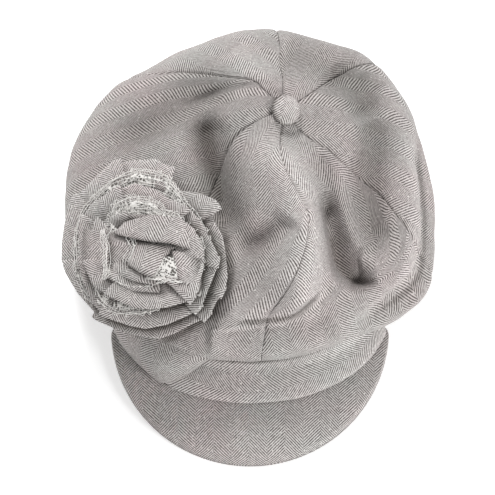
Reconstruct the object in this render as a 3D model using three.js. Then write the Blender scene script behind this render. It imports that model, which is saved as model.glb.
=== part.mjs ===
// Newsboy cap: a soft six-gore crown on a leaning band, a curved visor that tilts on its seam,
// a covered top button and a pleated fabric rosette on the wearer's right side.
// Millimetres, +Z up, the visor points to -Y, and -X is the wearer's right.
// The origin is the centre of the head opening, in the plane that the cap rests on.
import * as THREE from "three";

// ---- driving dimensions ----
const GAP = 0.3; // clearance kept between pieces that touch

const BAND = {
  bottomHalfWidth: 97,
  bottomHalfLength: 78,
  topHalfWidth: 91,
  topHalfLength: 62.5,
  topShift: 8, // the band leans back, so its top ring sits behind its bottom ring
  height: 32.5,
  frontLift: 11, // the arched visor lifts the band's bottom edge at the front
  cloth: 1.8,
};

const SWEATBAND = { frontInset: 2.4, backInset: 3.9, thickness: 1.0 };
const ELASTIC = { inset: 2.2, thickness: 1.2, startDegrees: 8, endDegrees: 172 };

const CROWN = {
  apex: new THREE.Vector3(24, 112.5, 94),
  rimCentre: new THREE.Vector3(0, 69, 45),
  rimRadiusX: 133,
  rimRadiusY: 130,
  backSag: 9, // the rim hangs lower at the back, where nothing holds it up
  seamHeight: BAND.height + 1,
  topShare: 0.62, // share of a gore's length that lies on top, from the button to the rim
  cloth: 1.4,
  seamMargin: GAP * 0.6, // half the gap between two gores
  firstRow: 0.018, // a gore starts this far from the apex, so the button's shank has room
  buttonTilt: { alongX: -0.6, alongY: 0.3, reach: 28 },
};

const LINING = { depth: 2.6, cloth: 0.8, lastRow: 0.985, seamMargin: 0.6 };

// A seam's angle on the rim and on the band, in degrees anticlockwise from +X.
// The gores are named after the part of the head that they cover.
const GORES = [
  { name: "front_left", rim: [-86.5, -24], band: [-90, -30] },
  { name: "side_left", rim: [-24, 48.5], band: [-30, 30] },
  { name: "back_left", rim: [48.5, 82], band: [30, 90] },
  { name: "back_right", rim: [82, 134], band: [90, 150] },
  { name: "side_right", rim: [134, 221], band: [150, 210] },
  { name: "front_right", rim: [221, 273.5], band: [210, 270] },
];
const GORE_COLUMNS = 6;
const GORE_ROWS = [0, 0.12, 0.25, 0.38, 0.48, 0.56, 0.62, 0.68, 0.76, 0.84, 0.92, 1];

const VISOR = {
  innerHalfWidth: 99.6,
  innerHalfLength: 80.6,
  outerHalfWidth: 100,
  outerHalfLength: 110,
  outerShift: -15.5,
  endAngle: 13, // degrees between each end of the visor and the X axis, on the band
  endLength: 0.025, // share of the visor's length over which each end narrows
  coverCloth: 1.2,
  boardThickness: 1.8,
  boardMargin: 3,
  innerRise: 10, // height of the visor's arch along the band
  outerRise: 2.5, // height of the arch along the free edge
  baseHeight: 0.9,
  crossCamber: 2,
};

const BUTTON = { radius: 11.5, domeHeight: 5.6, cloth: 0.8, stand: 2.6, shankRadius: 1.2 };

const ROSETTE = {
  centre: new THREE.Vector2(-75, 6.5),
  backingRadius: 38,
  backingHeight: 1.1,
  backingThickness: 0.8,
  footHeight: 2.6,
  uphillBend: 0.002, // curvature of the rosette's base, per millimetre
  downhillBend: 0.0052,
  segments: 24,
};
// Each strip stands on the backing at its root radius and opens out to its edge radius.
const ROSETTE_STRIPS = [
  { name: "rosette_ruffle_outer", root: 36, edge: 62, rootHeight: 3.1, edgeHeight: 4.8, cloth: 1.8 },
  { name: "rosette_gauze_outer", root: 33, edge: 56, rootHeight: 5.2, edgeHeight: 8.0, cloth: 0.6 },
  { name: "rosette_ruffle_second", root: 27, edge: 51, rootHeight: 5.6, edgeHeight: 12.6, cloth: 1.8 },
  { name: "rosette_gauze_middle", root: 24, edge: 43, rootHeight: 8.2, edgeHeight: 14.6, cloth: 0.6 },
  { name: "rosette_ruffle_third", root: 17, edge: 38, rootHeight: 8.6, edgeHeight: 19, cloth: 1.8 },
  { name: "rosette_gauze_inner", root: 14, edge: 28, rootHeight: 11.2, edgeHeight: 18.8, cloth: 0.6 },
  { name: "rosette_ruffle_inner", root: 9, edge: 24, rootHeight: 11.6, edgeHeight: 21.6, cloth: 1.8 },
];

// ---- materials ----
function material(color, roughness, metalness = 0) {
  return new THREE.MeshStandardMaterial({ color, roughness, metalness });
}
const linen = material(0x9c9795, 0.9);
const liningCloth = material(0x8f8a85, 0.75);
const gauze = material(0xd3cec6, 0.95);
const felt = material(0x76706c, 0.95);
const cotton = material(0xb5afa8, 0.9);
const rubberisedCloth = material(0xe4e1da, 0.85);
const board = material(0xe8e6e0, 0.5);
const aluminium = material(0xb8babd, 0.35, 1);

// ---- mesh helpers ----
const UP = new THREE.Vector3(0, 0, 1);

function radians(degrees) {
  return (degrees * Math.PI) / 180;
}

function mix(a, b, share) {
  return a + (b - a) * share;
}

function smoothStep(low, high, value) {
  const share = Math.min(1, Math.max(0, (value - low) / (high - low)));
  return share * share * (3 - 2 * share);
}

// Evenly spaced numbers from first to last, both included.
function steps(first, last, count) {
  return Array.from({ length: count + 1 }, (_, i) => mix(first, last, i / count));
}

// A closed slab between two grids of points of the same size. Columns wrap round if loop is set.
function slabGeometry(front, back, loop = false) {
  const columns = front.length;
  const rows = front[0].length;
  const positions = [...front, ...back].flat().flatMap((point) => point.toArray());
  const frontAt = (i, j) => (i % columns) * rows + j;
  const backAt = (i, j) => frontAt(i, j) + columns * rows;
  const triangles = [];
  const quad = (a, b, c, d) => triangles.push(a, b, c, a, c, d);
  const lastColumn = loop ? columns : columns - 1;
  for (let i = 0; i < lastColumn; i += 1) {
    for (let j = 0; j < rows - 1; j += 1) {
      quad(frontAt(i, j), frontAt(i + 1, j), frontAt(i + 1, j + 1), frontAt(i, j + 1));
      quad(backAt(i, j), backAt(i, j + 1), backAt(i + 1, j + 1), backAt(i + 1, j));
    }
    quad(frontAt(i, 0), backAt(i, 0), backAt(i + 1, 0), frontAt(i + 1, 0));
    quad(frontAt(i, rows - 1), frontAt(i + 1, rows - 1), backAt(i + 1, rows - 1), backAt(i, rows - 1));
  }
  if (!loop) {
    const end = columns - 1;
    for (let j = 0; j < rows - 1; j += 1) {
      quad(frontAt(0, j), frontAt(0, j + 1), backAt(0, j + 1), backAt(0, j));
      quad(frontAt(end, j), backAt(end, j), backAt(end, j + 1), frontAt(end, j + 1));
    }
  }
  return closedGeometry(positions, triangles);
}

// Makes an indexed geometry, turned so that its faces point out.
function closedGeometry(positions, triangles) {
  let volume = 0;
  const corner = (index) => new THREE.Vector3().fromArray(positions, index * 3);
  for (let i = 0; i < triangles.length; i += 3) {
    const [a, b, c] = triangles.slice(i, i + 3).map(corner);
    volume += a.dot(b.cross(c));
  }
  if (volume < 0) triangles.reverse();
  const geometry = new THREE.BufferGeometry();
  geometry.setAttribute("position", new THREE.Float32BufferAttribute(positions, 3));
  geometry.setIndex(triangles);
  geometry.computeVertexNormals();
  return geometry;
}

function namedMesh(name, geometry, partMaterial) {
  const mesh = new THREE.Mesh(geometry, partMaterial);
  mesh.name = name;
  return mesh;
}

function ellipsePoint(halfWidth, halfLength, centreY, angle, z) {
  return new THREE.Vector3(halfWidth * Math.cos(angle), centreY + halfLength * Math.sin(angle), z);
}

// ---- crown ----
// backwardness is -1 at the front of the rim and 1 at the back.
function rimHeight(backwardness) {
  return CROWN.rimCentre.z - CROWN.backSag * (0.5 + 0.5 * backwardness);
}

function rimPoint(angle) {
  const { rimCentre, rimRadiusX, rimRadiusY } = CROWN;
  return ellipsePoint(rimRadiusX, rimRadiusY, rimCentre.y, angle, rimHeight(Math.sin(angle)));
}

function bandTopPoint(angle) {
  return ellipsePoint(BAND.topHalfWidth, BAND.topHalfLength, BAND.topShift, angle, CROWN.seamHeight);
}

// The crown tilts locally under the button, and the tilt dies away from it.
function buttonTiltHeight(x, y) {
  const { alongX, alongY, reach } = CROWN.buttonTilt;
  const dx = x - CROWN.apex.x;
  const dy = y - CROWN.apex.y;
  return (alongX * dx + alongY * dy) * Math.exp(-(dx * dx + dy * dy) / (reach * reach));
}

// A gore's outer face: a quarter ellipse from the apex to the rim, then a curve back under the rim
// to the band. column runs from 0 to 1 across the gore, row from 0 to 1 down its length.
function crownPoint(gore, column, row) {
  const rim = rimPoint(radians(mix(gore.rim[0], gore.rim[1], column)));
  if (row <= CROWN.topShare) {
    const phase = ((row / CROWN.topShare) * Math.PI) / 2;
    const point = CROWN.apex.clone().lerp(rim, Math.sin(phase));
    point.z = mix(rim.z, CROWN.apex.z, Math.cos(phase)) + buttonTiltHeight(point.x, point.y);
    return point;
  }
  const seam = bandTopPoint(radians(mix(gore.band[0], gore.band[1], column)));
  const outward = rim.clone().sub(seam).setZ(0);
  const overhang = outward.length();
  const below = rim.clone().addScaledVector(UP, -(0.3 * overhang + 4));
  const beside = seam.clone().addScaledVector(outward, 0.35);
  beside.z -= 0.42 * Math.max(0, overhang - 30);
  const curve = new THREE.CubicBezierCurve3(rim, below, beside, seam);
  return curve.getPoint((row - CROWN.topShare) / (1 - CROWN.topShare));
}

function faceNormal(gore, column, row) {
  const small = 0.01;
  const columnStart = Math.max(0, column - small);
  const rowStart = Math.max(CROWN.firstRow, row - small);
  const across = crownPoint(gore, Math.min(1, column + small), row).sub(crownPoint(gore, columnStart, row));
  const down = crownPoint(gore, column, Math.min(1, row + small)).sub(crownPoint(gore, column, rowStart));
  return down.cross(across).normalize();
}

// At a seam both gores use the mean of their two normals, so that their cloths meet evenly.
function crownNormal(index, column, row) {
  const own = faceNormal(GORES[index], column, row);
  if (column > 0 && column < 1) return own;
  const neighbourIndex = (index + (column === 0 ? GORES.length - 1 : 1)) % GORES.length;
  return own.add(faceNormal(GORES[neighbourIndex], 1 - column, row)).normalize();
}

// Points at a depth below the crown's outer face, pulled in from both seams by a margin.
function crownGrid(index, depth, lastRow, margin) {
  const rows = GORE_ROWS.map((share) => mix(CROWN.firstRow, lastRow, share));
  const columns = steps(0, 1, GORE_COLUMNS);
  const pointAt = (column, row) => {
    const normal = crownNormal(index, column, row);
    return crownPoint(GORES[index], column, row).addScaledVector(normal, -depth);
  };
  const grid = columns.map((column) => rows.map((row) => pointAt(column, row)));
  const pullIn = (edge, next) => {
    const moved = edge.map((point, j) => point.clone().add(next[j].clone().sub(point).setLength(margin)));
    edge.forEach((point, j) => point.copy(moved[j]));
  };
  pullIn(grid[0], grid[1]);
  pullIn(grid[GORE_COLUMNS], grid[GORE_COLUMNS - 1]);
  return grid;
}

function crownGore(index) {
  const outer = crownGrid(index, 0, 1, CROWN.seamMargin);
  const inner = crownGrid(index, CROWN.cloth, 1, CROWN.seamMargin);
  return namedMesh(`crown_gore_${GORES[index].name}`, slabGeometry(outer, inner), linen);
}

function liningPanel(index) {
  const { depth, cloth, lastRow, seamMargin } = LINING;
  const outer = crownGrid(index, depth, lastRow, seamMargin);
  const inner = crownGrid(index, depth + cloth, lastRow, seamMargin);
  return namedMesh(`lining_panel_${GORES[index].name}`, slabGeometry(outer, inner), liningCloth);
}

// ---- band ----
// Share 0 is the band's bottom edge and 1 its top edge. inset is measured in towards the head.
function bandPoint(degrees, share, inset) {
  const angle = radians(degrees);
  const front = smoothStep(0.35, 1, -Math.sin(angle));
  const bottomHeight = BAND.frontLift * front;
  const bottom = ellipsePoint(BAND.bottomHalfWidth, BAND.bottomHalfLength, 0, angle, bottomHeight);
  const top = ellipsePoint(BAND.topHalfWidth, BAND.topHalfLength, BAND.topShift, angle, BAND.height);
  const inwardX = -Math.cos(angle) / BAND.bottomHalfWidth;
  const inwardY = -Math.sin(angle) / BAND.bottomHalfLength;
  const inward = new THREE.Vector3(inwardX, inwardY, 0).normalize();
  return bottom.lerp(top, share).addScaledVector(inward, inset);
}

function bandStrip(name, angles, shares, insetAt, thickness, partMaterial, loop = false) {
  const face = (extra) =>
    angles.map((degrees) => shares.map((share) => bandPoint(degrees, share, insetAt(degrees) + extra)));
  return namedMesh(name, slabGeometry(face(0), face(thickness), loop), partMaterial);
}

function bandPieces() {
  const heights = [0, 0.5, 1];
  const seamTrim = 0.2; // degrees taken off each end of a band at its side seams
  const sweatInset = (degrees) => {
    const back = smoothStep(-0.2, 0.2, Math.sin(radians(degrees)));
    return mix(SWEATBAND.frontInset, SWEATBAND.backInset, back);
  };
  const front = steps(180 + seamTrim, 360 - seamTrim, 24);
  const back = steps(seamTrim, 180 - seamTrim, 24);
  const round = steps(0, 360, 48).slice(0, -1);
  const elastic = steps(ELASTIC.startDegrees, ELASTIC.endDegrees, 20);
  return [
    bandStrip("front_band", front, heights, () => 0, BAND.cloth, linen),
    bandStrip("back_band", back, heights, () => 0, BAND.cloth, linen),
    bandStrip("back_elastic", elastic, [0.12, 0.8], () => ELASTIC.inset, ELASTIC.thickness, rubberisedCloth),
    bandStrip("sweatband", round, [0.05, 0.5, 0.93], sweatInset, SWEATBAND.thickness, cotton, true),
  ];
}

// ---- visor ----
// reach 0 is the edge on the band and 1 the free edge. along runs from 0 to 1 between the ends.
function visorPoint(along, reach, lift) {
  const innerAngle = radians(mix(-180 + VISOR.endAngle, -VISOR.endAngle, along));
  const outerAngle = radians(mix(-180, 0, along));
  const inner = ellipsePoint(VISOR.innerHalfWidth, VISOR.innerHalfLength, 0, innerAngle, 0);
  const outer = ellipsePoint(VISOR.outerHalfWidth, VISOR.outerHalfLength, VISOR.outerShift, outerAngle, 0);
  const fromEnd = Math.min(along, 1 - along) / VISOR.endLength;
  const width = mix(0.08, 1, Math.sin((Math.min(1, fromEnd) * Math.PI) / 2));
  const arch = Math.sin(Math.PI * along) ** 1.5;
  const rise = mix(VISOR.innerRise, VISOR.outerRise, reach) * arch;
  const camber = VISOR.crossCamber * arch * 4 * reach * (1 - reach);
  const point = inner.lerp(outer, reach * width);
  point.z = VISOR.baseHeight + rise + camber + lift;
  return point;
}

function visorPieces() {
  const end = VISOR.endLength;
  const along = [0, end * 0.4, ...steps(end, 1 - end, 22), 1 - end * 0.4, 1];
  const grid = (reaches, lifts) =>
    along.map((share) => reaches.map((reach, j) => visorPoint(share, reach, lifts[j])));
  const flat = (height) => [height, height, height, height, height];
  const cover = [0, 0.33, 0.66, 0.95, 1];
  const boardBase = VISOR.coverCloth + GAP;
  const boardTop = boardBase + VISOR.boardThickness;
  const topBase = boardTop + GAP;
  const lipBase = VISOR.coverCloth + GAP;
  const underCover = slabGeometry(grid(cover, flat(0)), grid(cover, flat(VISOR.coverCloth)));
  const topCover = slabGeometry(
    grid(cover, [topBase, topBase, topBase, topBase, lipBase]),
    grid(cover, flat(topBase + VISOR.coverCloth))
  );
  const boardAlong = steps(0.06, 0.94, 24);
  const boardReach = [0.06, 0.33, 0.66, 0.9];
  const boardGrid = (height) =>
    boardAlong.map((share) => boardReach.map((reach) => visorPoint(share, reach, height)));
  return [
    namedMesh("visor_under_cover", underCover, linen),
    namedMesh("visor_board", slabGeometry(boardGrid(boardBase), boardGrid(boardTop)), board),
    namedMesh("visor_top_cover", topCover, linen),
  ];
}

// ---- button ----
function domeArc(radius, height, base, count, fromAxis) {
  const angles = steps(0, Math.PI / 2, count);
  const arc = angles.map((a) => new THREE.Vector2(radius * Math.sin(a), base + height * Math.cos(a)));
  arc[0].x = 0;
  return fromAxis ? arc : arc.reverse();
}

// A turned solid about +Z. The profile runs from the top of the axis to its foot.
function latheGeometry(profile, segments) {
  const lathe = new THREE.LatheGeometry(profile.reverse(), segments);
  lathe.rotateX(Math.PI / 2);
  return lathe;
}

function buttonPieces() {
  const { radius, domeHeight, cloth, shankRadius } = BUTTON;
  const lip = radius - 1.7;
  const wall = 0.5;
  const shellRadius = radius - cloth - GAP;
  const shellBase = cloth + GAP;
  const coverProfile = [
    ...domeArc(radius, domeHeight, 1.2, 6, true),
    new THREE.Vector2(radius - 0.3, 0),
    new THREE.Vector2(lip, 0),
    new THREE.Vector2(lip, cloth),
    ...domeArc(radius - cloth, domeHeight - cloth, 1.2, 6, false),
  ];
  const shellProfile = [
    ...domeArc(shellRadius, domeHeight - cloth - GAP, shellBase, 6, true),
    ...domeArc(shellRadius - wall, domeHeight - cloth - GAP - wall, shellBase, 6, false),
  ];
  const plateProfile = [
    new THREE.Vector2(0, 0.8),
    new THREE.Vector2(lip - GAP - 0.1, 0.8),
    new THREE.Vector2(lip - GAP - 0.1, 0.1),
    new THREE.Vector2(shankRadius, 0.1),
    new THREE.Vector2(shankRadius, -5.5),
    new THREE.Vector2(0, -5.5),
  ];
  const button = new THREE.Group();
  button.add(namedMesh("button_cover", latheGeometry(coverProfile, 24), linen));
  button.add(namedMesh("button_shell", latheGeometry(shellProfile, 24), aluminium));
  button.add(namedMesh("button_back_plate", latheGeometry(plateProfile, 16), aluminium));
  const normal = new THREE.Vector3(-CROWN.buttonTilt.alongX, -CROWN.buttonTilt.alongY, 1).normalize();
  button.quaternion.setFromUnitVectors(UP, normal);
  button.position.copy(CROWN.apex).addScaledVector(normal, BUTTON.stand);
  return button;
}

// ---- rosette ----
// Height of the crown's top face over a point inside the rim.
function crownTopHeight(x, y) {
  const { apex, rimCentre, rimRadiusX, rimRadiusY } = CROWN;
  const fromX = apex.x / rimRadiusX;
  const fromY = (apex.y - rimCentre.y) / rimRadiusY;
  const toX = (x - apex.x) / rimRadiusX;
  const toY = (y - apex.y) / rimRadiusY;
  const a = toX * toX + toY * toY;
  const b = fromX * toX + fromY * toY;
  const c = fromX * fromX + fromY * fromY - 1;
  const share = a / (Math.sqrt(b * b - a * c) - b);
  const rimAtShare = rimHeight(fromY + toY / share);
  return mix(rimAtShare, apex.z, Math.sqrt(1 - share * share)) + buttonTiltHeight(x, y);
}

const rosetteFrame = (() => {
  const { x, y } = ROSETTE.centre;
  const span = 20;
  const slopeX = (crownTopHeight(x + span, y) - crownTopHeight(x - span, y)) / (2 * span);
  const slopeY = (crownTopHeight(x, y + span) - crownTopHeight(x, y - span)) / (2 * span);
  const normal = new THREE.Vector3(-slopeX, -slopeY, 1).normalize();
  const across = new THREE.Vector3(1, 0, slopeX).normalize();
  const along = normal.clone().cross(across);
  const downhill = Math.atan2(-along.z, -across.z);
  return { centre: new THREE.Vector3(x, y, crownTopHeight(x, y)), normal, across, along, downhill };
})();

// A point of the rosette. Its base bends down from the tangent plane, most of all downhill.
function rosettePoint(radius, angle, height) {
  const { centre, normal, across, along, downhill } = rosetteFrame;
  const point = centre.clone();
  point.addScaledVector(across, radius * Math.cos(angle)).addScaledVector(along, radius * Math.sin(angle));
  const { uphillBend, downhillBend } = ROSETTE;
  const bend = mix(uphillBend, downhillBend, 0.5 + 0.5 * Math.cos(angle - downhill));
  return point.addScaledVector(normal, height - 0.5 * bend * radius * radius);
}

function rosetteRing(name, lower, upper, partMaterial) {
  const angles = steps(0, 2 * Math.PI, ROSETTE.segments).slice(0, -1);
  const profileAt = (profile, angle) =>
    profile.map(([radius, height]) => rosettePoint(radius, angle, height));
  const grid = (profile) => angles.map((angle) => profileAt(profile, angle));
  return namedMesh(name, slabGeometry(grid(lower), grid(upper), true), partMaterial);
}

function rosettePieces() {
  const { backingRadius, backingHeight, backingThickness, footHeight } = ROSETTE;
  const backingTop = backingHeight + backingThickness;
  const backingRadii = [3, 14, 24, 31, backingRadius];
  const backing = rosetteRing(
    "rosette_backing",
    backingRadii.map((radius) => [radius, backingHeight]),
    backingRadii.map((radius) => [radius, backingTop]),
    felt
  );
  const strips = ROSETTE_STRIPS.map(({ name, root, edge, rootHeight, edgeHeight, cloth }) => {
    const middle = mix(root, edge, 0.5);
    const middleHeight = mix(rootHeight, edgeHeight, 0.5);
    const inside = root - cloth;
    const lower = [[root, footHeight], [root, rootHeight], [middle, middleHeight], [edge, edgeHeight]];
    const upper = [
      [inside, footHeight],
      [inside, rootHeight + cloth],
      [middle, middleHeight + cloth],
      [edge - cloth / 2, edgeHeight + cloth],
    ];
    return rosetteRing(name, lower, upper, cloth < 1 ? gauze : linen);
  });
  const foldProfile = [[2.2, footHeight], [4.5, 12], [5.5, 19], [2.5, 20.5]];
  const foldInside = [[0.8, footHeight], [0.8, 12], [0.8, 17], [0.8, 19]];
  const fold = rosetteRing("rosette_center_fold", foldInside, foldProfile, linen);
  return [backing, ...strips, fold];
}

// ---- the cap ----
const cap = new THREE.Group();
cap.name = "newsboy_cap";
GORES.forEach((_, index) => cap.add(crownGore(index)));
GORES.forEach((_, index) => cap.add(liningPanel(index)));
cap.add(...bandPieces());
cap.add(...visorPieces());
cap.add(buttonPieces());
cap.add(...rosettePieces());

export default cap;
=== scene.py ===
"""Looks of the newsboy cap: loose herringbone crown, band, visor, button and pleated rosette.

Lengths are in millimetres until a mesh is made, in the CAD model's frame: +Z up, the visor
points to -Y, and the rosette sits on the -X side.
"""

import math

import bpy
import numpy as np
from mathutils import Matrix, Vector, noise


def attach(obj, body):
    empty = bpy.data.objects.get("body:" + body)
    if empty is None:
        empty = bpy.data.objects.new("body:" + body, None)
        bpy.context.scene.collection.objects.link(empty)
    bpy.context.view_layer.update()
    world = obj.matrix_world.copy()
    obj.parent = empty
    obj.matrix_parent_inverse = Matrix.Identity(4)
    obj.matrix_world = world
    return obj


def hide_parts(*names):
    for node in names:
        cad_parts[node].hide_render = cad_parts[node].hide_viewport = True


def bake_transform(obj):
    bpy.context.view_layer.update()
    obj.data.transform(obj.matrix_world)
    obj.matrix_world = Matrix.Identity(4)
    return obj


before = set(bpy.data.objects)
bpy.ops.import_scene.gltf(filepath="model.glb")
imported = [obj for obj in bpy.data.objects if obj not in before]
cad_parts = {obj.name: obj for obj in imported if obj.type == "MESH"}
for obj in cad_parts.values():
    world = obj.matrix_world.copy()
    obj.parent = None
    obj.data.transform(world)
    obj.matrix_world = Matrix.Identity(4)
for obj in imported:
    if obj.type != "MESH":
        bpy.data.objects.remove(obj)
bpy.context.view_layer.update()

MM = 0.001
UP = np.array([0.0, 0.0, 1.0])
WEAVE_UV = "Weave"
PAINTED_SHADE = "PaintedShade"  # painted shade: how far each point's colour is darkened towards the tint below, in folds, beside other parts and under edges
# colour that the painted shade darkens the cloth towards
PAINTED_SHADE_TINT = (0.25, 0.24, 0.225, 1)
UV_UNIT = 100.0  # millimetres of cloth in one unit of the weave's UV map
BACK_UV_SHIFT = (1.0, 1.3)  # millimetres of weave over a slab's cut edge

# ---- view, floor and light ----
VIEW_ELEVATION = math.radians(65)
VIEW_TARGET = np.array([-1.8, 25.1, 50.0])
VIEW_DISTANCE = 6000.0
VIEW_WIDTH = 354.0
SENSOR_WIDTH = 36.0
TOWARDS_VIEW = np.array([0.0, -math.cos(VIEW_ELEVATION), math.sin(VIEW_ELEVATION)])
SKY_LIGHT = 0.40
SKY_GLOW = 0.38  # how much brighter than its light the camera sees the sky
PAPER_COLOUR = (0.93, 0.93, 0.93, 1)
PAPER_GLOW = 0.4
FLOOR_REACH = 6.0  # metres
LIGHT_TARGET = Vector((0, 0.05, 0.03))
# Each soft round light: its name, place and width in metres, and power in watts.
LIGHTS = [
    ("key", (-0.25, 1.0, 1.05), 0.4, 15),
    ("front", (1.25, -1.05, 0.6), 0.5, 23),
    ("side", (-1.3, -0.1, 0.7), 0.5, 3),
]


def new_object(name, data):
    made = bpy.data.objects.new(name, data)
    bpy.context.scene.collection.objects.link(made)
    return made


def place_and_aim(made, place, direction):
    """Puts a camera or light in its place, looking along a direction."""
    made.location = place
    made.rotation_mode = "QUATERNION"
    made.rotation_quaternion = direction.to_track_quat("-Z", "Y")


def make_camera():
    data = bpy.data.cameras.new("camera")
    data.sensor_width = SENSOR_WIDTH
    data.lens = SENSOR_WIDTH * VIEW_DISTANCE / VIEW_WIDTH
    data.clip_start = 0.01
    data.clip_end = 100
    camera = new_object("camera", data)
    place_and_aim(camera, Vector((VIEW_TARGET + TOWARDS_VIEW * VIEW_DISTANCE) * MM), Vector(-TOWARDS_VIEW))
    bpy.context.scene.camera = camera


def make_lights():
    for name, place, width, power in LIGHTS:
        data = bpy.data.lights.new(name, "AREA")
        data.shape = "DISK"
        data.size = width
        data.energy = power
        place_and_aim(new_object(name, data), Vector(place), LIGHT_TARGET - Vector(place))


def make_sky():
    scene = bpy.context.scene
    scene.view_settings.view_transform = "Standard"
    scene.view_settings.look = "None"
    world = bpy.data.worlds.new("studio")
    world.use_nodes = True
    tree = world.node_tree
    background = tree.nodes["Background"]
    background.inputs["Color"].default_value = (1.0, 1.0, 1.0, 1)
    rays = tree.nodes.new("ShaderNodeLightPath")
    strength = calc(tree, "MULTIPLY_ADD", rays.outputs["Is Camera Ray"], SKY_GLOW, SKY_LIGHT)
    tree.links.new(strength, background.inputs["Strength"])
    scene.world = world


def make_floor():
    far = FLOOR_REACH
    mesh = bpy.data.meshes.new("floor")
    mesh.from_pydata([(-far, -far, 0), (far, -far, 0), (far, far, 0), (-far, far, 0)], [], [(0, 1, 2, 3)])
    paper = bpy.data.materials.new("floor_paper")
    paper.use_nodes = True
    shader = paper.node_tree.nodes["Principled BSDF"]
    shader.inputs["Base Color"].default_value = PAPER_COLOUR
    shader.inputs["Roughness"].default_value = 0.9
    shader.inputs["Emission Color"].default_value = (1, 1, 1, 1)
    shader.inputs["Emission Strength"].default_value = PAPER_GLOW
    mesh.materials.append(paper)
    new_object("floor", mesh)


# ---- numbers and curves ----
def mix(a, b, share):
    return a + (b - a) * share


def smooth_step(low, high, value):
    share = np.clip((value - low) / (high - low), 0, 1)
    return share * share * (3 - 2 * share)


def window(rise_start, rise_end, fall_start, fall_end, value):
    """1 from rise_end to fall_start, and smoothly down to 0 on both sides."""
    return smooth_step(rise_start, rise_end, value) * (1 - smooth_step(fall_start, fall_end, value))


def falloff(away, reach):
    """1 at no distance, dying away over about the reach."""
    return np.exp(-((away / reach) ** 2))


def turn_from(centre, degrees):
    """Degrees from a centre angle, -180 to 180."""
    return (degrees - centre + 180) % 360 - 180


def moved(points, directions, amount):
    """Points moved along their directions by an amount for each."""
    return points + directions * np.asarray(amount)[..., None]


def unit(vectors):
    return vectors / np.maximum(np.linalg.norm(vectors, axis=-1, keepdims=True), 1e-9)


def spline(points, count):
    """Catmull-Rom curve through the points, as count evenly parametrised samples."""
    knots = np.array(points, float)
    padded = np.vstack([2 * knots[0] - knots[1], knots, 2 * knots[-1] - knots[-2]])
    where = np.linspace(0, len(knots) - 1, count)
    first = np.minimum(where.astype(int), len(knots) - 2)
    t = (where - first)[:, None]
    p0, p1, p2, p3 = (padded[first + i] for i in range(4))
    return 0.5 * (2 * p1 + (p2 - p0) * t + (2 * p0 - 5 * p1 + 4 * p2 - p3) * t**2
                  + (3 * p1 - p0 - 3 * p2 + p3) * t**3)


def noise_field(points, size, seed):
    """Smooth noise from -1 to 1 at each point, with bumps of about the given size."""
    flat = (points.reshape(-1, 3) / size + seed * 17.3).tolist()
    return np.array([noise.noise(p) for p in flat]).reshape(points.shape[:-1])


def grid_normals(grid, loop=False):
    """Unit normals of a grid of points, by central differences."""
    if loop:
        across = np.roll(grid, -1, 0) - np.roll(grid, 1, 0)
    else:
        across = np.gradient(grid, axis=0)
    down = np.gradient(grid, axis=1)
    return unit(np.cross(down, across))


def lengths_along(grid, axis):
    """Distance walked along one axis of a grid of points, from its first line."""
    step = np.linalg.norm(np.diff(grid, axis=axis), axis=-1)
    walked = np.cumsum(step, axis=axis)
    start = np.zeros_like(np.take(walked, [0], axis=axis))
    return np.concatenate([start, walked], axis=axis)


# ---- meshes ----
def slab_object(name, front, back, uv, loop=False):
    """A closed slab between two grids of points. uv holds the cloth's own (u, v) in millimetres."""
    columns, rows = front.shape[:2]
    points = np.concatenate([front.reshape(-1, 3), back.reshape(-1, 3)]) * MM
    index = np.arange(columns * rows).reshape(columns, rows)
    if loop:
        index = np.vstack([index, index[:1]])
    other = index + columns * rows

    def quads(a, b, c, d):
        return np.stack([a, b, c, d], -1).reshape(-1, 4)

    faces = [
        quads(index[:-1, :-1], index[1:, :-1], index[1:, 1:], index[:-1, 1:]),
        quads(other[:-1, :-1], other[:-1, 1:], other[1:, 1:], other[1:, :-1]),
        quads(index[:-1, 0], other[:-1, 0], other[1:, 0], index[1:, 0]),
        quads(index[:-1, -1], index[1:, -1], other[1:, -1], other[:-1, -1]),
    ]
    if not loop:
        faces.append(quads(index[0, :-1], index[0, 1:], other[0, 1:], other[0, :-1]))
        faces.append(quads(index[-1, :-1], other[-1, :-1], other[-1, 1:], index[-1, 1:]))
    faces = np.concatenate(faces)
    a, b, c, d = (points[faces[:, i]] for i in range(4))
    volume = (a * (np.cross(b, c) + np.cross(c, d))).sum()
    if volume < 0:
        faces = faces[:, ::-1]
    uv = uv.reshape(-1, 2)
    uv_points = np.concatenate([uv, uv + BACK_UV_SHIFT]) / UV_UNIT
    return mesh_object(name, points, faces.tolist(), uv_points)


def mesh_object(name, points, faces, uv_points):
    """A smooth-shaded mesh object from points in metres, with one UV point for each vertex."""
    mesh = bpy.data.meshes.new(name)
    mesh.from_pydata(points.tolist(), [], faces)
    layer = mesh.uv_layers.new(name=WEAVE_UV)
    corner_vertex = np.empty(len(mesh.loops), np.int32)
    mesh.loops.foreach_get("vertex_index", corner_vertex)
    layer.data.foreach_set("uv", uv_points[corner_vertex].astype(np.float32).ravel())
    mesh.polygons.foreach_set("use_smooth", np.ones(len(mesh.polygons), bool))
    mesh.update()
    return new_object(name, mesh)


def set_painted_shade(made, painted_shade):
    """Stores the painted shade of the cloth on a slab made from a grid of the same size."""
    attribute = made.data.attributes.new(PAINTED_SHADE, "FLOAT", "POINT")
    attribute.data.foreach_set("value", np.tile(painted_shade.ravel(), 2).astype(np.float32))


def finish_piece(made, body, slot_name, look, *nodes):
    """Gives a piece its look and body, and hides the CAD parts it replaces; its slot name is not used. One
    without a body is left unattached, with its transform applied.
    """
    made.data.materials.append(look)
    if nodes:
        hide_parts(*nodes)
    if body:
        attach(made, body)
    else:
        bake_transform(made)


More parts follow.
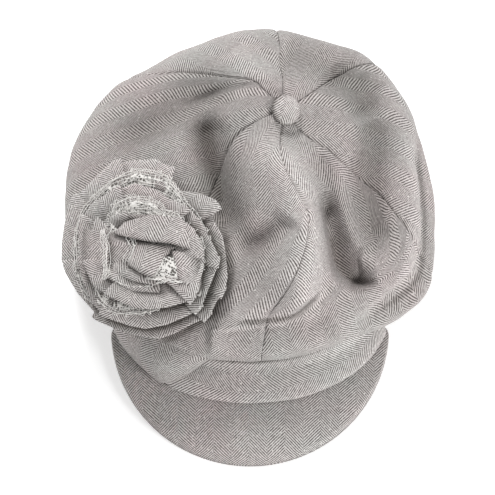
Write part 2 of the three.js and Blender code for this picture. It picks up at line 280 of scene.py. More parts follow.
# ---- materials ----
def new_material(name, roughness, sheen=0.0):
    made = bpy.data.materials.new(name)
    made.use_nodes = True
    shader = made.node_tree.nodes["Principled BSDF"]
    shader.inputs["Roughness"].default_value = roughness
    shader.inputs["Sheen Weight"].default_value = sheen
    shader.inputs["Sheen Roughness"].default_value = 0.5
    shader.inputs["Specular IOR Level"].default_value = 0.2
    return made, made.node_tree, shader


def put(tree, socket, value):
    if hasattr(value, "is_output"):
        tree.links.new(value, socket)
    else:
        socket.default_value = value


def calc(tree, operation, a, b=0.0, c=0.0):
    node = tree.nodes.new("ShaderNodeMath")
    node.operation = operation
    for socket, value in zip(node.inputs, (a, b, c)):
        put(tree, socket, value)
    return node.outputs[0]


def noise_value(tree, vector, scale, detail=2.0):
    node = tree.nodes.new("ShaderNodeTexNoise")
    node.inputs["Scale"].default_value = scale
    node.inputs["Detail"].default_value = detail
    put(tree, node.inputs["Vector"], vector)
    return node.outputs["Fac"]


def combine(tree, x, y, z=0.0):
    node = tree.nodes.new("ShaderNodeCombineXYZ")
    for socket, value in zip(node.inputs, (x, y, z)):
        put(tree, socket, value)
    return node.outputs[0]


def clamped(tree, value):
    node = tree.nodes.new("ShaderNodeClamp")
    put(tree, node.inputs[0], value)
    return node.outputs[0]


def object_place(tree):
    """Position on the object, in metres."""
    return tree.nodes.new("ShaderNodeTexCoord").outputs["Object"]


def cloth_noise(tree, u, v, scales, detail=0.0, layer=0.0):
    """Noise over two lengths on the cloth, each with its own scale."""
    scaled_u = calc(tree, "MULTIPLY", u, scales[0])
    scaled_v = calc(tree, "MULTIPLY", v, scales[1])
    return noise_value(tree, combine(tree, scaled_u, scaled_v, layer), 1.0, detail)


def mix_colour(tree, share, a, b, blend="MIX"):
    node = tree.nodes.new("ShaderNodeMix")
    node.data_type = "RGBA"
    node.blend_type = blend
    put(tree, node.inputs[0], share)
    put(tree, node.inputs[6], a)
    put(tree, node.inputs[7], b)
    return node.outputs[2]


def add_bump(tree, shader, height, distance, strength=1.0):
    node = tree.nodes.new("ShaderNodeBump")
    node.inputs["Distance"].default_value = distance
    node.inputs["Strength"].default_value = strength
    put(tree, node.inputs["Height"], height)
    tree.links.new(node.outputs[0], shader.inputs["Normal"])


def cloth_coordinates(tree):
    """The cloth's own u and v in millimetres, and its position in metres."""
    uv = tree.nodes.new("ShaderNodeUVMap")
    uv.uv_map = WEAVE_UV
    split = tree.nodes.new("ShaderNodeSeparateXYZ")
    tree.links.new(uv.outputs[0], split.inputs[0])
    u = calc(tree, "MULTIPLY", split.outputs[0], UV_UNIT)
    v = calc(tree, "MULTIPLY", split.outputs[1], UV_UNIT)
    return u, v, object_place(tree)


COLUMN_WIDTH = 12.8  # width of a herringbone column
TWILL_PITCH = 2.15  # the twill's repeat along a column
WANDER = (0.9, -0.6)  # how far the threads stray across and along the columns, in millimetres
LINEN_RELIEF = 0.00022  # metres
YARN_SCALES = (0.9, 0.16)
SLUB_SCALES = (0.9, 0.12)
FLECK_SCALES = (0.75, 0.75)
SPECK_SCALES = (1.0, 0.7)
SPECK_GAIN = 9.0
SPECK_LEVEL = -6.2
SPECK_COLOUR = (0.86, 0.84, 0.82, 1)
WARM_TINT = (1.10, 0.97, 0.98, 1)
COOL_TINT = (0.91, 1.02, 0.98, 1)


def herringbone_material(name, dark, light):
    """Linen twill whose diagonal turns at every column."""
    made, tree, shader = new_material(name, 0.88, 0.12)
    u, v, place = cloth_coordinates(tree)
    wander = noise_value(tree, place, 40, 0.0)
    u = calc(tree, "MULTIPLY_ADD", wander, WANDER[0], u)
    v = calc(tree, "MULTIPLY_ADD", wander, WANDER[1], v)
    columns = calc(tree, "DIVIDE", u, COLUMN_WIDTH)
    column = calc(tree, "FLOOR", columns)
    parity = calc(tree, "ABSOLUTE", calc(tree, "MODULO", column, 2.0))
    across = calc(tree, "MULTIPLY", calc(tree, "PINGPONG", columns, 1.0), COLUMN_WIDTH)
    diagonal = calc(tree, "DIVIDE", calc(tree, "ADD", v, across), TWILL_PITCH)
    diagonal = calc(tree, "MULTIPLY_ADD", parity, 0.5, diagonal)
    wave = calc(tree, "SINE", calc(tree, "MULTIPLY", diagonal, 2 * math.pi))
    along = calc(tree, "SUBTRACT", v, across)
    yarn = cloth_noise(tree, diagonal, along, YARN_SCALES, 1.0, column)
    slub = cloth_noise(tree, u, v, SLUB_SCALES, 2.0)
    fleck = cloth_noise(tree, u, v, FLECK_SCALES)
    stripe = calc(tree, "MULTIPLY_ADD", wave, 0.5, 0.5)
    for uneven, weight in ((yarn, 0.55), (slub, 0.25), (fleck, 0.5)):
        stripe = calc(tree, "MULTIPLY_ADD", calc(tree, "SUBTRACT", uneven, 0.5), weight, stripe)
    stripe = clamped(tree, stripe)
    colour = mix_colour(tree, stripe, dark, light)
    speck = calc(tree, "MULTIPLY_ADD", cloth_noise(tree, u, v, SPECK_SCALES), SPECK_GAIN, SPECK_LEVEL)
    colour = mix_colour(tree, clamped(tree, speck), colour, SPECK_COLOUR)
    tint = noise_value(tree, place, 22, 3.0)
    tinted = mix_colour(tree, tint, WARM_TINT, COOL_TINT)
    colour = mix_colour(tree, 1.0, colour, tinted, "MULTIPLY")
    # Painted shade: the colour is darkened towards the shade tint by the amount stored on each piece.
    painted_shade = tree.nodes.new("ShaderNodeAttribute")
    painted_shade.attribute_name = PAINTED_SHADE
    fully_shaded = mix_colour(tree, 1.0, colour, PAINTED_SHADE_TINT, "MULTIPLY")
    colour = mix_colour(tree, painted_shade.outputs["Fac"], colour, fully_shaded)
    put(tree, shader.inputs["Base Color"], colour)
    fibre = noise_value(tree, place, 2600, 1.0)
    height = calc(tree, "MULTIPLY_ADD", fibre, 0.35, stripe)
    add_bump(tree, shader, height, LINEN_RELIEF, 0.8)
    return made


def plain_weave_material(name, colour, other, thread, roughness, sheen, rib):
    """Plain or ribbed cloth: two crossing sets of threads with uneven colour."""
    made, tree, shader = new_material(name, roughness, sheen)
    u, v, place = cloth_coordinates(tree)
    turn = math.pi / thread
    warp = calc(tree, "SINE", calc(tree, "MULTIPLY", u, turn))
    weft = calc(tree, "SINE", calc(tree, "MULTIPLY", v, turn * (1 - 0.6 * rib)))
    weave = calc(tree, "MULTIPLY_ADD", calc(tree, "MULTIPLY", warp, weft), 0.3, 0.5)
    uneven = noise_value(tree, place, 260, 3.0)
    share = clamped(tree, calc(tree, "ADD", weave, calc(tree, "SUBTRACT", uneven, 0.5)))
    put(tree, shader.inputs["Base Color"], mix_colour(tree, share, colour, other))
    add_bump(tree, shader, weave, 0.00015, 0.6)
    return made


NET_CELLS = 620  # cells of the net in a metre
NET_GAIN = 5.0
NET_LEVEL = -4.45
NET_HOLE_COLOUR = (0.12, 0.11, 0.10, 1)
NET_THREAD_COLOUR = (0.84, 0.82, 0.79, 1)


def gauze_material():
    """Pale open net: threads over small dark holes."""
    made, tree, shader = new_material("gauze", 0.95, 0.2)
    place = object_place(tree)
    cells = tree.nodes.new("ShaderNodeTexVoronoi")
    cells.inputs["Scale"].default_value = NET_CELLS
    put(tree, cells.inputs["Vector"], place)
    uneven = noise_value(tree, place, 130, 2.0)
    closeness = calc(tree, "MULTIPLY_ADD", uneven, 1.1, cells.outputs["Distance"])
    thread = clamped(tree, calc(tree, "MULTIPLY_ADD", closeness, NET_GAIN, NET_LEVEL))
    colour = mix_colour(tree, thread, NET_HOLE_COLOUR, NET_THREAD_COLOUR)
    put(tree, shader.inputs["Base Color"], colour)
    add_bump(tree, shader, thread, 0.0004)
    return made


def grainy_material(name, roughness, sheen, metallic, grain, bump, *colours):
    """A surface whose colour and height follow one fine noise, given as its scale and detail."""
    made, tree, shader = new_material(name, roughness, sheen)
    shader.inputs["Metallic"].default_value = metallic
    fine = noise_value(tree, object_place(tree), *grain)
    put(tree, shader.inputs["Base Color"], mix_colour(tree, fine, *colours))
    add_bump(tree, shader, fine, *bump)
    return made


# ---- crown: driving shape, the same as the CAD model's ----
BAND_BOTTOM = (97.0, 78.0, 0.0)  # half width, half length, centre Y
BAND_TOP = (91.0, 62.5, 8.0)
BAND_HEIGHT = 32.5
BAND_FRONT_LIFT = 11.0
BAND_CLOTH = 1.8
APEX = np.array([24.0, 112.5, 94.0])
RIM_CENTRE_Y = 69.0
RIM_HEIGHT = 45.0
RIM_RADII = (133.0, 130.0)
BACK_SAG = 9.0
SEAM_HEIGHT = BAND_HEIGHT + 1
TOP_SHARE = 0.62
FIRST_ROW = 0.018
FINE_START = 0.46  # shares of a gore's length between which its rows lie closest, over the rim
FINE_END = 0.70
CROWN_CLOTH = 1.4
SEAM_MARGIN = 0.18
COLUMN_SPACING = 1.9
PUCKER_DEPTH = 0.22
PUCKER_PITCH = 1.25  # millimetres of seam in one radian of its puckers
BUTTON_TILT = (-0.6, 0.3, 28.0)
BUTTON_SEAT = 1.6  # how far the cloth stands up towards the button round its shank
DRAPE_OVERLAP = 3.4  # how far the slack gore laps over the visor's sewn edge
DRAPED_DEGREES = (196, 214, 234, 254)  # where round the band it does so, and dies away
LINING_DEPTH = 2.6
LINING_SLACK = 0.9
LINING_SEAM_MARGIN = 0.6
LINING_CLOTH = 0.8
LINING_LAST_ROW = 0.985
# Each gore: degrees of its edges at the rim and at the band, its flat cut, and how much of that
# rectangle it fills.
GORES = [
    {"name": "front_left", "rim": (-86.5, -24), "band": (-90, -30), "cut": (155, 265), "share": 0.43},
    {"name": "side_left", "rim": (-24, 48.5), "band": (-30, 30), "cut": (170, 290), "share": 0.46},
    {"name": "back_left", "rim": (48.5, 82), "band": (30, 90), "cut": (95, 275), "share": 0.72},
    {"name": "back_right", "rim": (82, 134), "band": (90, 150), "cut": (122, 290), "share": 0.65},
    {"name": "side_right", "rim": (134, 221), "band": (150, 210), "cut": (202, 325), "share": 0.47},
    {"name": "front_right", "rim": (221, 273.5), "band": (210, 270), "cut": (128, 280), "share": 0.59},
]
# Where the slack cloth draws the rim in or lets it out: angle, spread in degrees, millimetres in.
RIM_TUCKS = [(108, 11, 4), (126, 10, 5), (84, 14, -4), (50, 18, -8), (-33, 15, -15), (-14, 12, -3)]

# Folds of the slack cloth on a plane square to TOWARDS_VIEW, as (x, height up that plane)
# points, with how far the cloth rises (or sinks) and its reach to the left and right of the line.
FOLDS = [
    {"line": [(-6, 134), (19, 106), (33, 78), (39, 42), (34, 18), (19, -8)], "rise": 16, "reach": (15, 21)},
    {"line": [(-26, 146), (-30, 126), (-26, 106), (-20, 86), (-19, 66), (-24, 44)],
     "rise": -17, "reach": (12, 11)},
    {"line": [(-44, 128), (-39, 106), (-35, 87), (-32, 58)], "rise": 4, "reach": (6, 14)},
    {"line": [(-16, 43), (7, 46), (21, 55), (30, 66)], "rise": -8, "reach": (11, 9)},
    {"line": [(54, 88), (55, 66), (58, 44), (64, 27), (78, 19), (92, 24)], "rise": -18, "reach": (14, 5)},
    {"line": [(48, 118), (52, 90), (56, 60)], "rise": -5, "reach": (8, 7)},
    {"line": [(57, 84), (70, 58), (82, 44)], "rise": 5, "reach": (8, 7)},
    {"line": [(86, 146), (88, 122), (84, 92), (86, 62), (88, 34)], "rise": -15, "reach": (13, 12)},
    {"line": [(56, 176), (70, 164), (80, 150), (86, 134)], "rise": -15, "reach": (12, 14)},
    {"line": [(78, 169), (86, 164), (96, 156)], "rise": -4, "reach": (9, 9)},
    {"line": [(112, 138), (119, 100), (118, 54), (106, 2)], "rise": 6, "reach": (12, 9)},
    {"line": [(-110, 108), (-71, 128), (-45, 148), (-28, 152), (-6, 148)], "rise": -10, "reach": (17, 14)},
    {"line": [(-52, 142), (-26, 153), (-12, 158), (12, 161)], "rise": -4, "reach": (4, 5)},
    {"line": [(-14, 188), (0, 174), (16, 162)], "rise": 5, "reach": (12, 10)},
    {"line": [(20, 186), (42, 178), (68, 166)], "rise": -8, "reach": (13, 13)},
    {"line": [(-34, -15), (0, -11), (29, -6), (58, 17)], "rise": 6, "reach": (16, 1.8)},
    {"line": [(-29, -38), (-28, -26), (-26, -10)], "rise": 3, "reach": (1.8, 13)},
    {"line": [(44, -2), (56, -18), (60, -34)], "rise": -3, "reach": (6, 5)},
    {"line": [(-66, -18), (-44, -26), (-30, -44)], "rise": -3, "reach": (8, 8)},
]
# Painted shade of the crown's cloth: the deeper it lies in a fold, the darker its colour.
UNSHADED_RISE = 12.0  # height over the smooth crown at which the cloth gets no painted shade
FULL_SHADE_DEPTH = 17.0  # depth below it at which it is about as dark as it gets
MOST_SHADE = 0.92
FOLD_SAMPLES = 28
FOLD_END = 0.22  # share of a fold's length over which each end dies away
# Lines of painted shade in valleys and under a fold's edge: the same kind of line, with how dark it is.
SHADE_LINES = [
    {"line": [(-18, -9), (12, -7), (33, -3), (55, 19)], "dark": 0.8, "reach": (0.9, 4.5)},
    {"line": [(56, 70), (58, 44), (64, 27), (77, 18), (94, 23)], "dark": 0.92, "reach": (14, 1.4)},
    {"line": [(-32, 146), (-29, 120), (-24, 92), (-21, 58)], "dark": 0.92, "reach": (10, 21)},
    {"line": [(58, 176), (72, 164), (82, 148), (87, 124)], "dark": 0.64, "reach": (12, 15)},
    {"line": [(87, 134), (85, 106), (87, 76)], "dark": 0.5, "reach": (11, 11)},
    {"line": [(-27, -10), (-28, -22), (-28, -38)], "dark": 0.6, "reach": (0.9, 3)},
]


def line_share(flat, fold):
    """Each point's share of a fold: 1 on its line, falling off to both sides and to both ends."""
    line = spline(fold["line"], FOLD_SAMPLES)
    best = np.full(len(flat), 1e9)
    side = np.zeros(len(flat))
    where = np.zeros(len(flat))
    for i in range(FOLD_SAMPLES - 1):
        step = line[i + 1] - line[i]
        share = np.clip(((flat - line[i]) @ step) / (step @ step), 0, 1)
        away = flat - (line[i] + share[:, None] * step)
        distance = np.hypot(away[:, 0], away[:, 1])
        closer = distance < best
        best = np.where(closer, distance, best)
        side = np.where(closer, step[0] * away[:, 1] - step[1] * away[:, 0], side)
        where = np.where(closer, (i + share) / (FOLD_SAMPLES - 1), where)
    reach = np.where(side > 0, fold["reach"][0], fold["reach"][1])
    ends = smooth_step(0, FOLD_END, where) * smooth_step(0, FOLD_END, 1 - where)
    return ends * falloff(best, reach)


def fold_relief(points):
    """How far the slack cloth stands out, and how much painted shade the shade lines give it, for each point.
    """
    up_plane = points @ np.array([0.0, math.sin(VIEW_ELEVATION), math.cos(VIEW_ELEVATION)])
    flat = np.stack([points[..., 0], up_plane], -1).reshape(-1, 2)
    relief = sum(fold["rise"] * line_share(flat, fold) for fold in FOLDS)
    shade_from_lines = np.max([shade_line["dark"] * line_share(flat, shade_line) for shade_line in SHADE_LINES], axis=0)
    return relief.reshape(points.shape[:-1]), shade_from_lines.reshape(points.shape[:-1])


def ellipse_points(shape, angle, z):
    half_width, half_length, centre_y = shape
    x = half_width * np.cos(angle)
    y = centre_y + half_length * np.sin(angle)
    return np.stack([x, y, z + 0 * x], -1)


def rim_points(degrees):
    angle = np.radians(degrees)
    tuck = np.zeros_like(angle)
    for centre, spread, inward in RIM_TUCKS:
        tuck += inward * falloff(turn_from(centre, degrees), spread)
    z = RIM_HEIGHT - BACK_SAG * (0.5 + 0.5 * np.sin(angle))
    shape = (RIM_RADII[0] - tuck, RIM_RADII[1] - tuck, RIM_CENTRE_Y)
    return ellipse_points(shape, angle, z)


def tilt_height(x, y):
    dx = x - APEX[0]
    dy = y - APEX[1]
    return (BUTTON_TILT[0] * dx + BUTTON_TILT[1] * dy) * np.exp(-(dx * dx + dy * dy) / BUTTON_TILT[2] ** 2)


def visor_top_height(degrees):
    """Height of the visor's upper cloth beside the band, at an angle round the head."""
    start = 180 + VISOR_END_ANGLE
    along = np.clip((degrees % 360 - start) / (360 - VISOR_END_ANGLE - start), 0, 1)
    return VISOR_TOP_AT_END + VISOR_ARCH * np.sin(math.pi * along) ** 1.5


def band_points(degrees, share, inset):
    """Share 0 is the band's bottom edge and 1 its top edge. inset is measured towards the head."""
    angle = np.radians(degrees)
    lift = BAND_FRONT_LIFT * smooth_step(0.35, 1, -np.sin(angle))
    bottom = ellipse_points(BAND_BOTTOM, angle, lift)
    top = ellipse_points(BAND_TOP, angle, BAND_HEIGHT)
    inward = np.stack([-np.cos(angle) / BAND_BOTTOM[0], -np.sin(angle) / BAND_BOTTOM[1], 0 * angle], -1)
    return mix(bottom, top, np.asarray(share)[..., None]) + unit(inward) * np.asarray(inset)[..., None]


def under_curve(rim, seam, t):
    """The cloth's way back from the rim, under the overhang, to the band."""
    outward = (rim - seam) * np.array([1, 1, 0])
    overhang = np.linalg.norm(outward, axis=-1, keepdims=True)
    below = rim - UP * (0.3 * overhang + 4)
    beside = seam + outward * 0.35 - UP * 0.42 * np.maximum(0, overhang - 30)
    s = 1 - t
    return s**3 * rim + 3 * s * s * t * below + 3 * s * t * t * beside + t**3 * seam


def drape_curve(rim, seam, degrees, t):
    """The slack front gore's way down over the band to the visor, and back up behind itself."""
    outward = unit((rim - seam) * np.array([1, 1, 0]))
    foot = band_points(degrees, np.full(degrees.shape, 0.2), np.zeros(degrees.shape))
    foot = foot + outward * (visor_edge_gap(foot) + DRAPE_OVERLAP)[..., None]
    foot[..., 2] = visor_top_height(degrees) + 2.2
    knots = [
        rim,
        mix(rim, foot, 0.35) + outward * 6 + UP * 3,
        mix(rim, foot, 0.75) + outward * 5 + UP * 1,
        foot,
        mix(foot, seam, 0.35) - outward * 1.0,
        seam,
    ]
    times = [0, 0.3, 0.6, 0.78, 0.87, 1]
    result = np.zeros(np.broadcast_shapes(rim.shape, t.shape[:-1] + (3,)))
    for i in range(5):
        before = knots[max(0, i - 1)]
        after = knots[min(5, i + 2)]
        span = times[i + 1] - times[i]
        s = np.clip((t - times[i]) / span, 0, 1)
        slope_in = (knots[i + 1] - before) / (times[i + 1] - times[max(0, i - 1)]) * span
        slope_out = (after - knots[i]) / (times[min(5, i + 2)] - times[i]) * span
        piece = ((2 * s**3 - 3 * s**2 + 1) * knots[i] + (s**3 - 2 * s**2 + s) * slope_in
                 + (3 * s**2 - 2 * s**3) * knots[i + 1] + (s**3 - s**2) * slope_out)
        inside = (t >= times[i]) & ((t < times[i + 1]) | (i == 4))
        result = np.where(inside, piece, result)
    return result


# The doubled fold down the wearer's left side: shares of a gore's length, and millimetres drawn in.
SIDE_FOLD_ROWS = [0.28, 0.38, 0.47, 0.53, 0.56, 0.585, 0.61, 0.65, 0.72]
SIDE_FOLD_TUCK = [0.0, 3.0, 8.0, 11.5, 16.5, 17.0, 10.0, 1.0, 0.0]

# Seams that wander on the way down, as the slack cloth slides: rim angle, spread in degrees,
# then the seam's turn in degrees at shares of the gore's length.
SEAM_SWAYS = [
    {"rim": 271.5, "spread": 40, "rows": [0, 0.064, 0.13, 0.2, 0.274, 0.41, 0.55],
     "turns": [0, 6, 17, 24.6, 17, 1, 0]},
    {"rim": 221, "spread": 38, "rows": [0, 0.067, 0.1, 0.123, 0.154, 0.2, 0.4],
     "turns": [-27, -27, -23, -15, 0, 3, 0]},
    {"rim": 134, "spread": 34, "rows": [0, 0.123, 0.18, 0.26, 0.366, 0.5],
     "turns": [-23, -23, -13.6, -8.6, -3.4, 0]},
]


def seam_sway(degrees, row):
    """How far the cloth has turned about the button, in degrees."""
    total = 0 * degrees
    offsets = np.linspace(-0.025, 0.025, 7)
    for sway in SEAM_SWAYS:
        turn = sum(np.interp(row + o, sway["rows"], sway["turns"]) for o in offsets) / len(offsets)
        total = total + turn * falloff(turn_from(sway["rim"], degrees), sway["spread"])
    return total


def side_fold_strength(rim_degrees):
    return window(-62, -38, 4, 30, turn_from(0, rim_degrees))


def side_fold(rim_degrees, row):
    """How far the cloth is drawn in towards the crown's middle beside the doubled fold."""
    offsets = np.linspace(-0.02, 0.02, 5)
    tuck = sum(np.interp(row + o, SIDE_FOLD_ROWS, SIDE_FOLD_TUCK) for o in offsets) / len(offsets)
    return side_fold_strength(rim_degrees) * tuck


def crown_grid(gore, columns, rows):
    """The slack crown's outer face over one gore, as a grid of points, before its folds."""
    col = columns[:, None]
    row = rows[None, :]
    rim_degrees = mix(gore["rim"][0], gore["rim"][1], col) + 0 * row
    band_degrees = mix(gore["band"][0], gore["band"][1], col) + 0 * row
    rim = rim_points(rim_degrees)
    seam = ellipse_points(BAND_TOP, np.radians(band_degrees), SEAM_HEIGHT)
    phase = np.clip(row / TOP_SHARE, 0, 1) * math.pi / 2
    swayed = rim_points(rim_degrees + seam_sway(rim_degrees, row))
    top = mix(APEX, swayed, np.sin(phase)[..., None])
    top[..., 2] = mix(swayed[..., 2], APEX[2], np.cos(phase)) + tilt_height(top[..., 0], top[..., 1])
    t = np.clip((row - TOP_SHARE) / (1 - TOP_SHARE), 0, 1)[..., None] + 0 * col[..., None]
    under = under_curve(rim, seam, t)
    drape = window(*DRAPED_DEGREES, band_degrees % 360)
    under = mix(under, drape_curve(rim, seam, band_degrees, t), drape[..., None])
    points = np.where((row <= TOP_SHARE)[..., None], top, under)
    inward = unit((APEX - rim) * np.array([1, 1, 0]))
    return moved(points, inward, side_fold(rim_degrees, row))


def slack_grid(gore, columns, rows):
    """crown_grid with its folds, sags and small creases, and each point's painted shade."""
    base = crown_grid(gore, columns, rows)
    row = np.broadcast_to(rows[None, :], base.shape[:2])
    from_apex = np.hypot(base[..., 0] - APEX[0], base[..., 1] - APEX[1])
    relief, shade_from_lines = fold_relief(base)
    shade_from_lines = shade_from_lines * (1 - smooth_step(0.56, 0.64, row))
    relief *= 1 - smooth_step(0.52, 0.66, row)
    relief *= smooth_step(11, 30, from_apex)
    under_rosette = np.hypot(base[..., 0] - ROSETTE_CENTRE[0], base[..., 1] - ROSETTE_CENTRE[1])
    relief *= smooth_step(30, 62, under_rosette)
    points = moved(base, TOWARDS_VIEW, relief)
    normals = grid_normals(points)
    if (normals[len(columns) // 2, len(rows) // 4] @ UP) < 0:
        normals = -normals
    points = moved(points, normals, BUTTON_SEAT * (1 - smooth_step(8, 17, from_apex)))
    calm = smooth_step(40, 66, under_rosette) * smooth_step(12, 32, from_apex)
    swell = 1.5 * noise_field(points, 34, 1) + 0.5 * noise_field(points, 13, 2)
    points = moved(points, normals, swell * calm)
    round_band = np.radians(mix(gore["band"][0], gore["band"][1], columns)[:, None])
    at_back = smooth_step(-0.1, 0.25, np.sin(round_band))
    gathers = np.sin(round_band * 31 + 2.2 * noise_field(points, 30, 3)) * window(0.74, 0.97, 0.985, 1.0, row)
    points = moved(points, normals, gathers * mix(0.3, 1.5, at_back))
    sag = np.sin(round_band * 9 + 1.2) * window(0.5, 0.72, 0.8, 0.97, row)
    points = moved(points, normals, 1.8 * at_back * sag)
    # Painted shade: deeper in folds, beside the rosette, a painted shadow behind the doubled side fold, and
    # along the shade lines.
    depth = UNSHADED_RISE - relief
    share_of_depth = np.clip(depth / (UNSHADED_RISE + FULL_SHADE_DEPTH), 0, 9)
    painted_shade = MOST_SHADE * np.tanh(share_of_depth ** 1.25 / MOST_SHADE)
    painted_shade = np.maximum(painted_shade, rosette_shadow(points) * (1 - smooth_step(0.58, 0.68, row)))
    rim_degrees = mix(gore["rim"][0], gore["rim"][1], columns)[:, None]
    side_fold_shadow = 0.6 * falloff(row - 0.603, 0.011) + 0.22 * smooth_step(0.59, 0.62, row)
    painted_shade = np.maximum(painted_shade, side_fold_strength(rim_degrees) * side_fold_shadow)
    painted_shade = np.maximum(painted_shade, shade_from_lines)
    return points, normals, painted_shade


def rosette_shadow(points):
    """Painted shadow on the crown's cloth beside the rosette's outer edge, strongest at its front and inner
    side.
    """
    centre, _, across, along, _ = ROSETTE_FRAME
    a = (points - centre) @ across
    b = (points - centre) @ along
    angle = np.arctan2(b, a)
    away = np.hypot(a, b) - edge_radius(RUFFLES[0]["corners"], angle)
    facing = 0.5 + 0.5 * np.cos(angle + math.radians(45))
    return (0.2 + 0.75 * facing) * np.exp(-np.clip(away, 0, 99) / 3.6)


def gore_columns(gore, spacing):
    """Column shares across a gore, closer together beside its seams."""
    width = math.radians(gore["rim"][1] - gore["rim"][0]) * RIM_RADII[0]
    edge = np.array([0, 0.8, 1.8, 3.2, 5.0])
    middle = np.linspace(5.0, width - 5.0, max(4, int((width - 10) / spacing)) + 1)[1:-1]
    return np.concatenate([edge, middle, width - edge[::-1]]) / width


UV_TURN_SHARE = 0.6  # share of a gore's rows after which each column keeps its own length


def gore_uv(points):
    """Flat pattern of a gore: v runs down its middle line, u square to it."""
    walked = lengths_along(points, 0)
    middle = points.shape[0] // 2
    u = walked - walked[middle:middle + 1]
    down = lengths_along(points, 1)
    turn = int(points.shape[1] * UV_TURN_SHARE)
    own = down[middle:middle + 1, turn:turn + 1] + down - down[:, turn:turn + 1]
    past_turn = smooth_step(turn, turn * 1.25, np.arange(points.shape[1]))[None, :]
    v = mix(down[middle:middle + 1], own, past_turn) + 0 * u
    return np.stack([u, v], -1)


def pull_in_seams(points, margin):
    for edge, beside in ((0, 1), (-1, -2)):
        points[edge] += unit(points[beside] - points[edge]) * margin
    return points


def seam_distance(points):
    walked = lengths_along(points, 0)
    return np.minimum(walked, walked[-1:] - walked)


def make_crown(linen, lining_look):
    rows = np.concatenate([
        np.linspace(FIRST_ROW, FINE_START, 92, endpoint=False),
        np.linspace(FINE_START, FINE_END, 66, endpoint=False),
        np.linspace(FINE_END, 1.0, 62),
    ])
    lining_rows = np.linspace(FIRST_ROW, LINING_LAST_ROW, 64)
    for gore in GORES:
        columns = gore_columns(gore, COLUMN_SPACING)
        points, normals, painted_shade = slack_grid(gore, columns, rows)
        away = seam_distance(points)
        on_top = 1 - smooth_step(0.97, 1.0, rows)[None, :]
        pucker = PUCKER_DEPTH * np.sin(lengths_along(points, 1) / PUCKER_PITCH) * falloff(away, 3.5)
        groove = 1.15 * falloff(away, 1.1) + 0.55 * falloff(away, 4.5)
        rim_degrees = mix(gore["rim"][0], gore["rim"][1], columns)[:, None]
        swallowed = falloff(turn_from(-90, rim_degrees), 9) * smooth_step(0.5, 0.54, rows)[None, :]
        points = moved(points, normals, -(groove + pucker) * on_top * (1 - swallowed))
        points = pull_in_seams(points, SEAM_MARGIN)
        inner = points - normals * CROWN_CLOTH
        name = f"crown_gore_{gore['name']}"
        made = slab_object(f"{name}_cloth", points, inner, gore_uv(points))
        set_painted_shade(made, painted_shade)
        front = gore["name"].startswith("front")
        finish_piece(made, None if front else "crown", "linen_herringbone", linen, name)
        lining_columns = np.linspace(0, 1, 26)
        outer, lining_normals, _ = slack_grid(gore, lining_columns, lining_rows)
        outer = outer - lining_normals * (LINING_DEPTH + LINING_SLACK)
        outer = pull_in_seams(outer, LINING_SEAM_MARGIN)
        inner = outer - lining_normals * LINING_CLOTH
        name = f"lining_panel_{gore['name']}"
        made = slab_object(f"{name}_cloth", outer, inner, gore_uv(outer))
        finish_piece(made, None if front else "crown", "lining_cloth", lining_look, name)


# ---- band ----
# An even darkening all over the band, by the painted-shade mix.
BAND_SHADE_LEVEL = 0.08
BAND_SEAM_SHADOW = 0.95  # painted shadow along its top edge, under the crown where it is sewn on
PUFF_OVERLAP = 1.7  # how far the band's cloth laps over the visor's sewn edge
SWEATBAND_INSETS = (2.4, 3.9)  # at the front, and at the back inside the elastic
BACK_GATHERS = 47  # gathers of the casing in a whole turn round the head
ELASTIC_ENDS = (8, 172)  # degrees round the head
ELASTIC_INSET = 2.2
ELASTIC_CLOTH = 1.2


def band_strip(name, degrees, shares, inset, thickness, relief, loop=False):
    """A strip round the head. relief is the extra distance out from the head at each point."""
    angle = degrees[:, None] + 0 * shares[None, :]
    share = shares[None, :] + 0 * degrees[:, None]
    inset_grid = inset(angle) - relief(angle, share)
    outer = band_points(angle, share, inset_grid)
    inner = band_points(angle, share, inset_grid + thickness)
    up = lengths_along(outer, 1)
    walked = lengths_along(outer, 0)[:, :1] + 0 * up
    made = slab_object(name, outer, inner, np.stack([up, walked], -1), loop)
    # Painted shade: even over the strip, with a painted shadow along its top edge.
    set_painted_shade(made, BAND_SHADE_LEVEL + (BAND_SEAM_SHADOW - BAND_SHADE_LEVEL) * smooth_step(0.85, 0.96, share))
    return made


def band_noise(degrees, share, size, seed):
    """Smooth noise along the band, with bumps of about the given millimetres."""
    return noise_field(np.stack([degrees * 1.6, share * 30, 0 * degrees], -1), size, seed)


def visor_edge_gap(points):
    """Level distance from points beside the band out to the visor's inner edge."""
    x, y = points[..., 0], points[..., 1]
    reach = np.hypot(x / VISOR_INNER[0], y / VISOR_INNER[1])
    slope = np.hypot(x / VISOR_INNER[0] ** 2, y / VISOR_INNER[1] ** 2) / reach
    return (1 - reach) / slope


